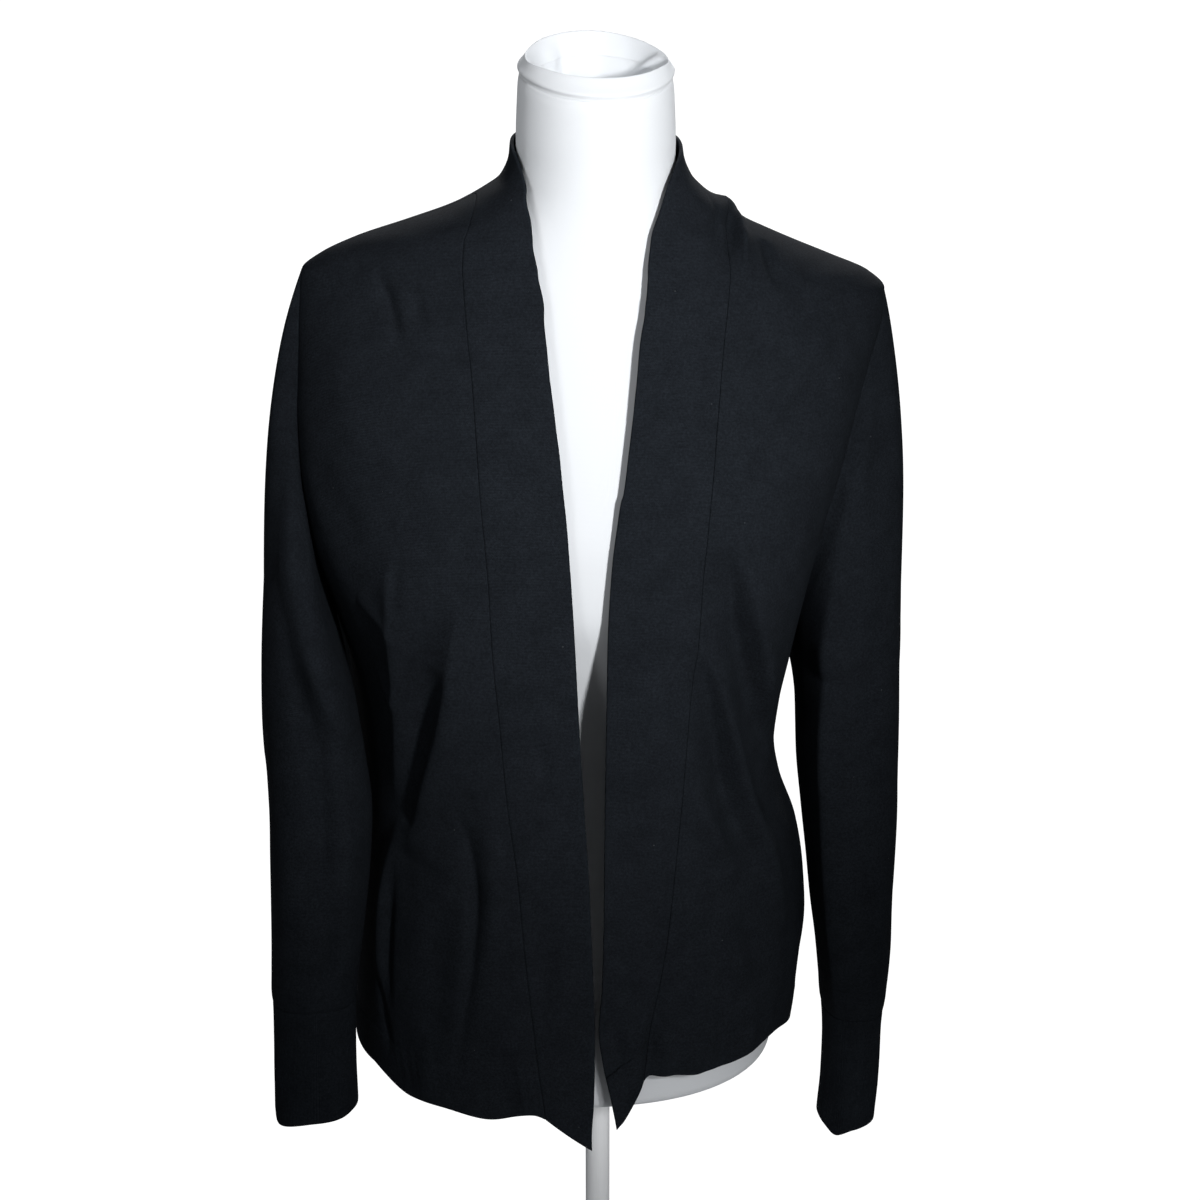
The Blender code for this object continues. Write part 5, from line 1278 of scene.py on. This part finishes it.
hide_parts("dress_form")

# the rolled rim: a fold that slopes in to the mouth, which is drawn out into a corner at each side
neck_side = np.linalg.norm((collar - neck_centre)[:, :2], axis=1)
base = neck_centre + 0 * OUT
# along the section, from its outer lower edge over the top to the inner side: share of the way in, share of the height.
# Its lower part stands back under a thin rolled edge, and its top slopes in to the mouth.
SECTION = [(0.110, 0.004), (0.110, 0.02), (0.110, 0.09), (0.100, 0.17), (0.060, 0.23), (0.015, 0.275), (0.000, 0.32), (0.025, 0.365), (0.100, 0.42),
           (0.25, 0.50), (0.45, 0.62), (0.64, 0.75), (0.80, 0.87), (0.90, 0.945), (0.96, 0.985), (1.00, 1.00), (1.06, 1.00), (1.12, 0.975)]
INNER = [0.93, 0.86, 0.78, 0.69, 0.60, 0.51, 0.42, 0.33, 0.24, 0.16, 0.08, 0.02, 0.004]
lines, levels = [], []
for inward, up in SECTION:
    recess = 0.0014 * (1 - smoothstep((up - 0.10) / 0.16))
    lines.append(np.minimum(neck_side + (mouth - neck_side) * inward, neck_side - recess))
    levels.append(crown * up)
start = lines[-1]
for up in INNER:
    share = ((0.97 - up) / 0.966) ** 0.85
    lines.append(start + (NECK_WELL_RADIUS - start) * share - wall_relief(crown * (1 - up)))
    levels.append(crown * up)
inner_edge = lines[-1]
for share in (0.03, 0.3, 0.7, 0.97):  # its flat underside, back to the outer edge
    lines.append(inner_edge + (lines[0] - inner_edge) * share)
    levels.append(crown * 0.004)
CROSS = len(lines)
r, h = np.array(lines).T, np.array(levels).T
p = base[:, None, :] + OUT[:, None, :] * r[..., None]
p[..., 2] = neck_cut(p[..., 1]) + h
p = taper(p)
index = np.arange(AROUND * CROSS).reshape(AROUND, CROSS)
nxt, beside = np.roll(index, -1, axis=0), np.roll(index, -1, axis=1)
quads = np.stack([index, nxt, np.roll(nxt, -1, axis=1), beside], axis=-1).reshape(-1, 4)
verts = p.reshape(-1, 3)
quad = quads[6]
facing = np.cross(verts[quad[2]] - verts[quad[0]], verts[quad[3]] - verts[quad[1]]) @ (OUT[0] + (0, 0, 0.5))
if facing < 0:
    quads = quads[:, ::-1]
uv = np.stack(np.meshgrid(np.arange(AROUND + 1) * 0.0017, np.arange(CROSS + 1) * 0.0014, indexing="ij"), axis=-1)
corner_uv = np.stack([uv[:-1, :-1], uv[1:, :-1], uv[1:, 1:], uv[:-1, 1:]], axis=2).reshape(-1, 4, 2)
rim_piece = make_mesh("form_neck_rim", verts, quads, corner_uv, WHITE)
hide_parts("neck_rim")

for node in ("stand_base", "stand_post", "stand_collar"):
    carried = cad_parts[node]
    if not len(carried.material_slots):
        carried.data.materials.append(PAINT)
    for slot in carried.material_slots:
        slot.material = PAINT


# ---------------------------------------------------------------- floor, light and camera
m = Nodes("studio_floor")
grain = m.noise(3.0, 2.0)
out = m.new("ShaderNodeOutputMaterial")
surface = m.new("ShaderNodeBsdfPrincipled")
m.put(surface.inputs["Base Color"], m.mix(grain, (0.20, 0.20, 0.20, 1), (0.21, 0.21, 0.21, 1)))
surface.inputs["Roughness"].default_value = 1.0
surface.inputs["Specular IOR Level"].default_value = 0.0
# a painted glow: to camera rays it shines as white as an overlit sweep, brightest behind the object, and it throws
# little light back up
place = m.new("ShaderNodeSeparateXYZ")
m.put(place.inputs[0], m.place())
glow = m.span(place.outputs[1], -0.30, 0.16, 0.74, 0.99)
seen = m.new("ShaderNodeLightPath").outputs["Is Camera Ray"]
m.put(surface.inputs["Emission Strength"], m.math("ADD", 0.05, m.math("MULTIPLY", seen, m.math("SUBTRACT", glow, 0.05))))
surface.inputs["Emission Color"].default_value = (1.0, 1.0, 1.0, 1)
m.tree.links.new(surface.outputs[0], out.inputs[0])
mesh = bpy.data.meshes.new("floor")
mesh.from_pydata([(-40, -40, 0), (40, -40, 0), (40, 40, 0), (-40, 40, 0)], [], [(0, 1, 2, 3)])
mesh.materials.append(m.material)
floor = bpy.data.objects.new("floor", mesh)
bpy.context.scene.collection.objects.link(floor)

world = bpy.data.worlds.new("studio")
world.use_nodes = True
world.node_tree.nodes["Background"].inputs[0].default_value = (0.94, 0.97, 1.0, 1)
# pale to the eye above the floor's edge, and dim as a light
seen = world.node_tree.nodes.new("ShaderNodeLightPath").outputs["Is Camera Ray"]
level = world.node_tree.nodes.new("ShaderNodeMath")
level.operation = "MULTIPLY_ADD"
level.inputs[1].default_value, level.inputs[2].default_value = 0.76, 0.16
world.node_tree.links.new(seen, level.inputs[0])
world.node_tree.links.new(level.outputs[0], world.node_tree.nodes["Background"].inputs[1])
bpy.context.scene.world = world


def sun(name, azimuth, elevation, strength, size, colour=(1, 1, 1)):
    """azimuth: degrees from the front towards the viewer's right."""
    data = bpy.data.lights.new(name, "SUN")
    data.energy, data.angle, data.color = strength, math.radians(size), colour
    made = bpy.data.objects.new(name, data)
    made.rotation_euler = (math.radians(90 - elevation), 0, math.radians(azimuth))
    bpy.context.scene.collection.objects.link(made)
    return made


def spot(name, place, target, power, cone, radius, narrow):
    """A lamp with a soft beam, narrower across than up and down."""
    data = bpy.data.lights.new(name, "SPOT")
    data.energy, data.spot_size, data.spot_blend, data.shadow_soft_size = power, math.radians(cone), 1.0, radius
    made = bpy.data.objects.new(name, data)
    made.location = place
    made.rotation_euler = (mathutils.Vector(target) - mathutils.Vector(place)).to_track_quat("-Z", "Y").to_euler()
    made.scale = (narrow, 1.0, 1.0)
    bpy.context.scene.collection.objects.link(made)
    return made


spot("key", (0.42, -1.52, 1.24), (0.0, -0.13, 0.97), 116.0, 58, 0.07, 0.48)
spot("fill", (-0.95, -1.30, 1.45), (-0.02, -0.05, 0.95), 29.0, 31, 0.25, 1.0)
# a low wide beam on the cuffs and on the form's lower edge, and one on each side of the neck
spot("low", (0.35, -1.45, 0.30), (0.07, -0.05, 0.215), 25.0, 11, 0.10, 2.4)
spot("neck_left", (-1.10, -1.10, 1.26), (-0.02, 0.0, 0.990), 23.0, 7.5, 0.10, 1.0)
spot("neck_right", (1.15, -0.95, 1.26), (0.02, 0.0, 0.990), 15.0, 7.5, 0.10, 1.0)
sun("behind", 168, 24, 3.2, 14, (0.97, 0.98, 1.0))

camera_data = bpy.data.cameras.new("camera")
camera_data.sensor_width = 36
camera_data.lens = 69.3
camera = bpy.data.objects.new("camera", camera_data)
camera.location = (-0.22268, -1.58443, 1.170)
camera.rotation_euler = (math.radians(71.4), 0, math.radians(-8.0705))
bpy.context.scene.collection.objects.link(camera)
bpy.context.scene.camera = camera
bpy.context.scene.view_settings.view_transform = "Standard"
bpy.context.scene.view_settings.look = "None"
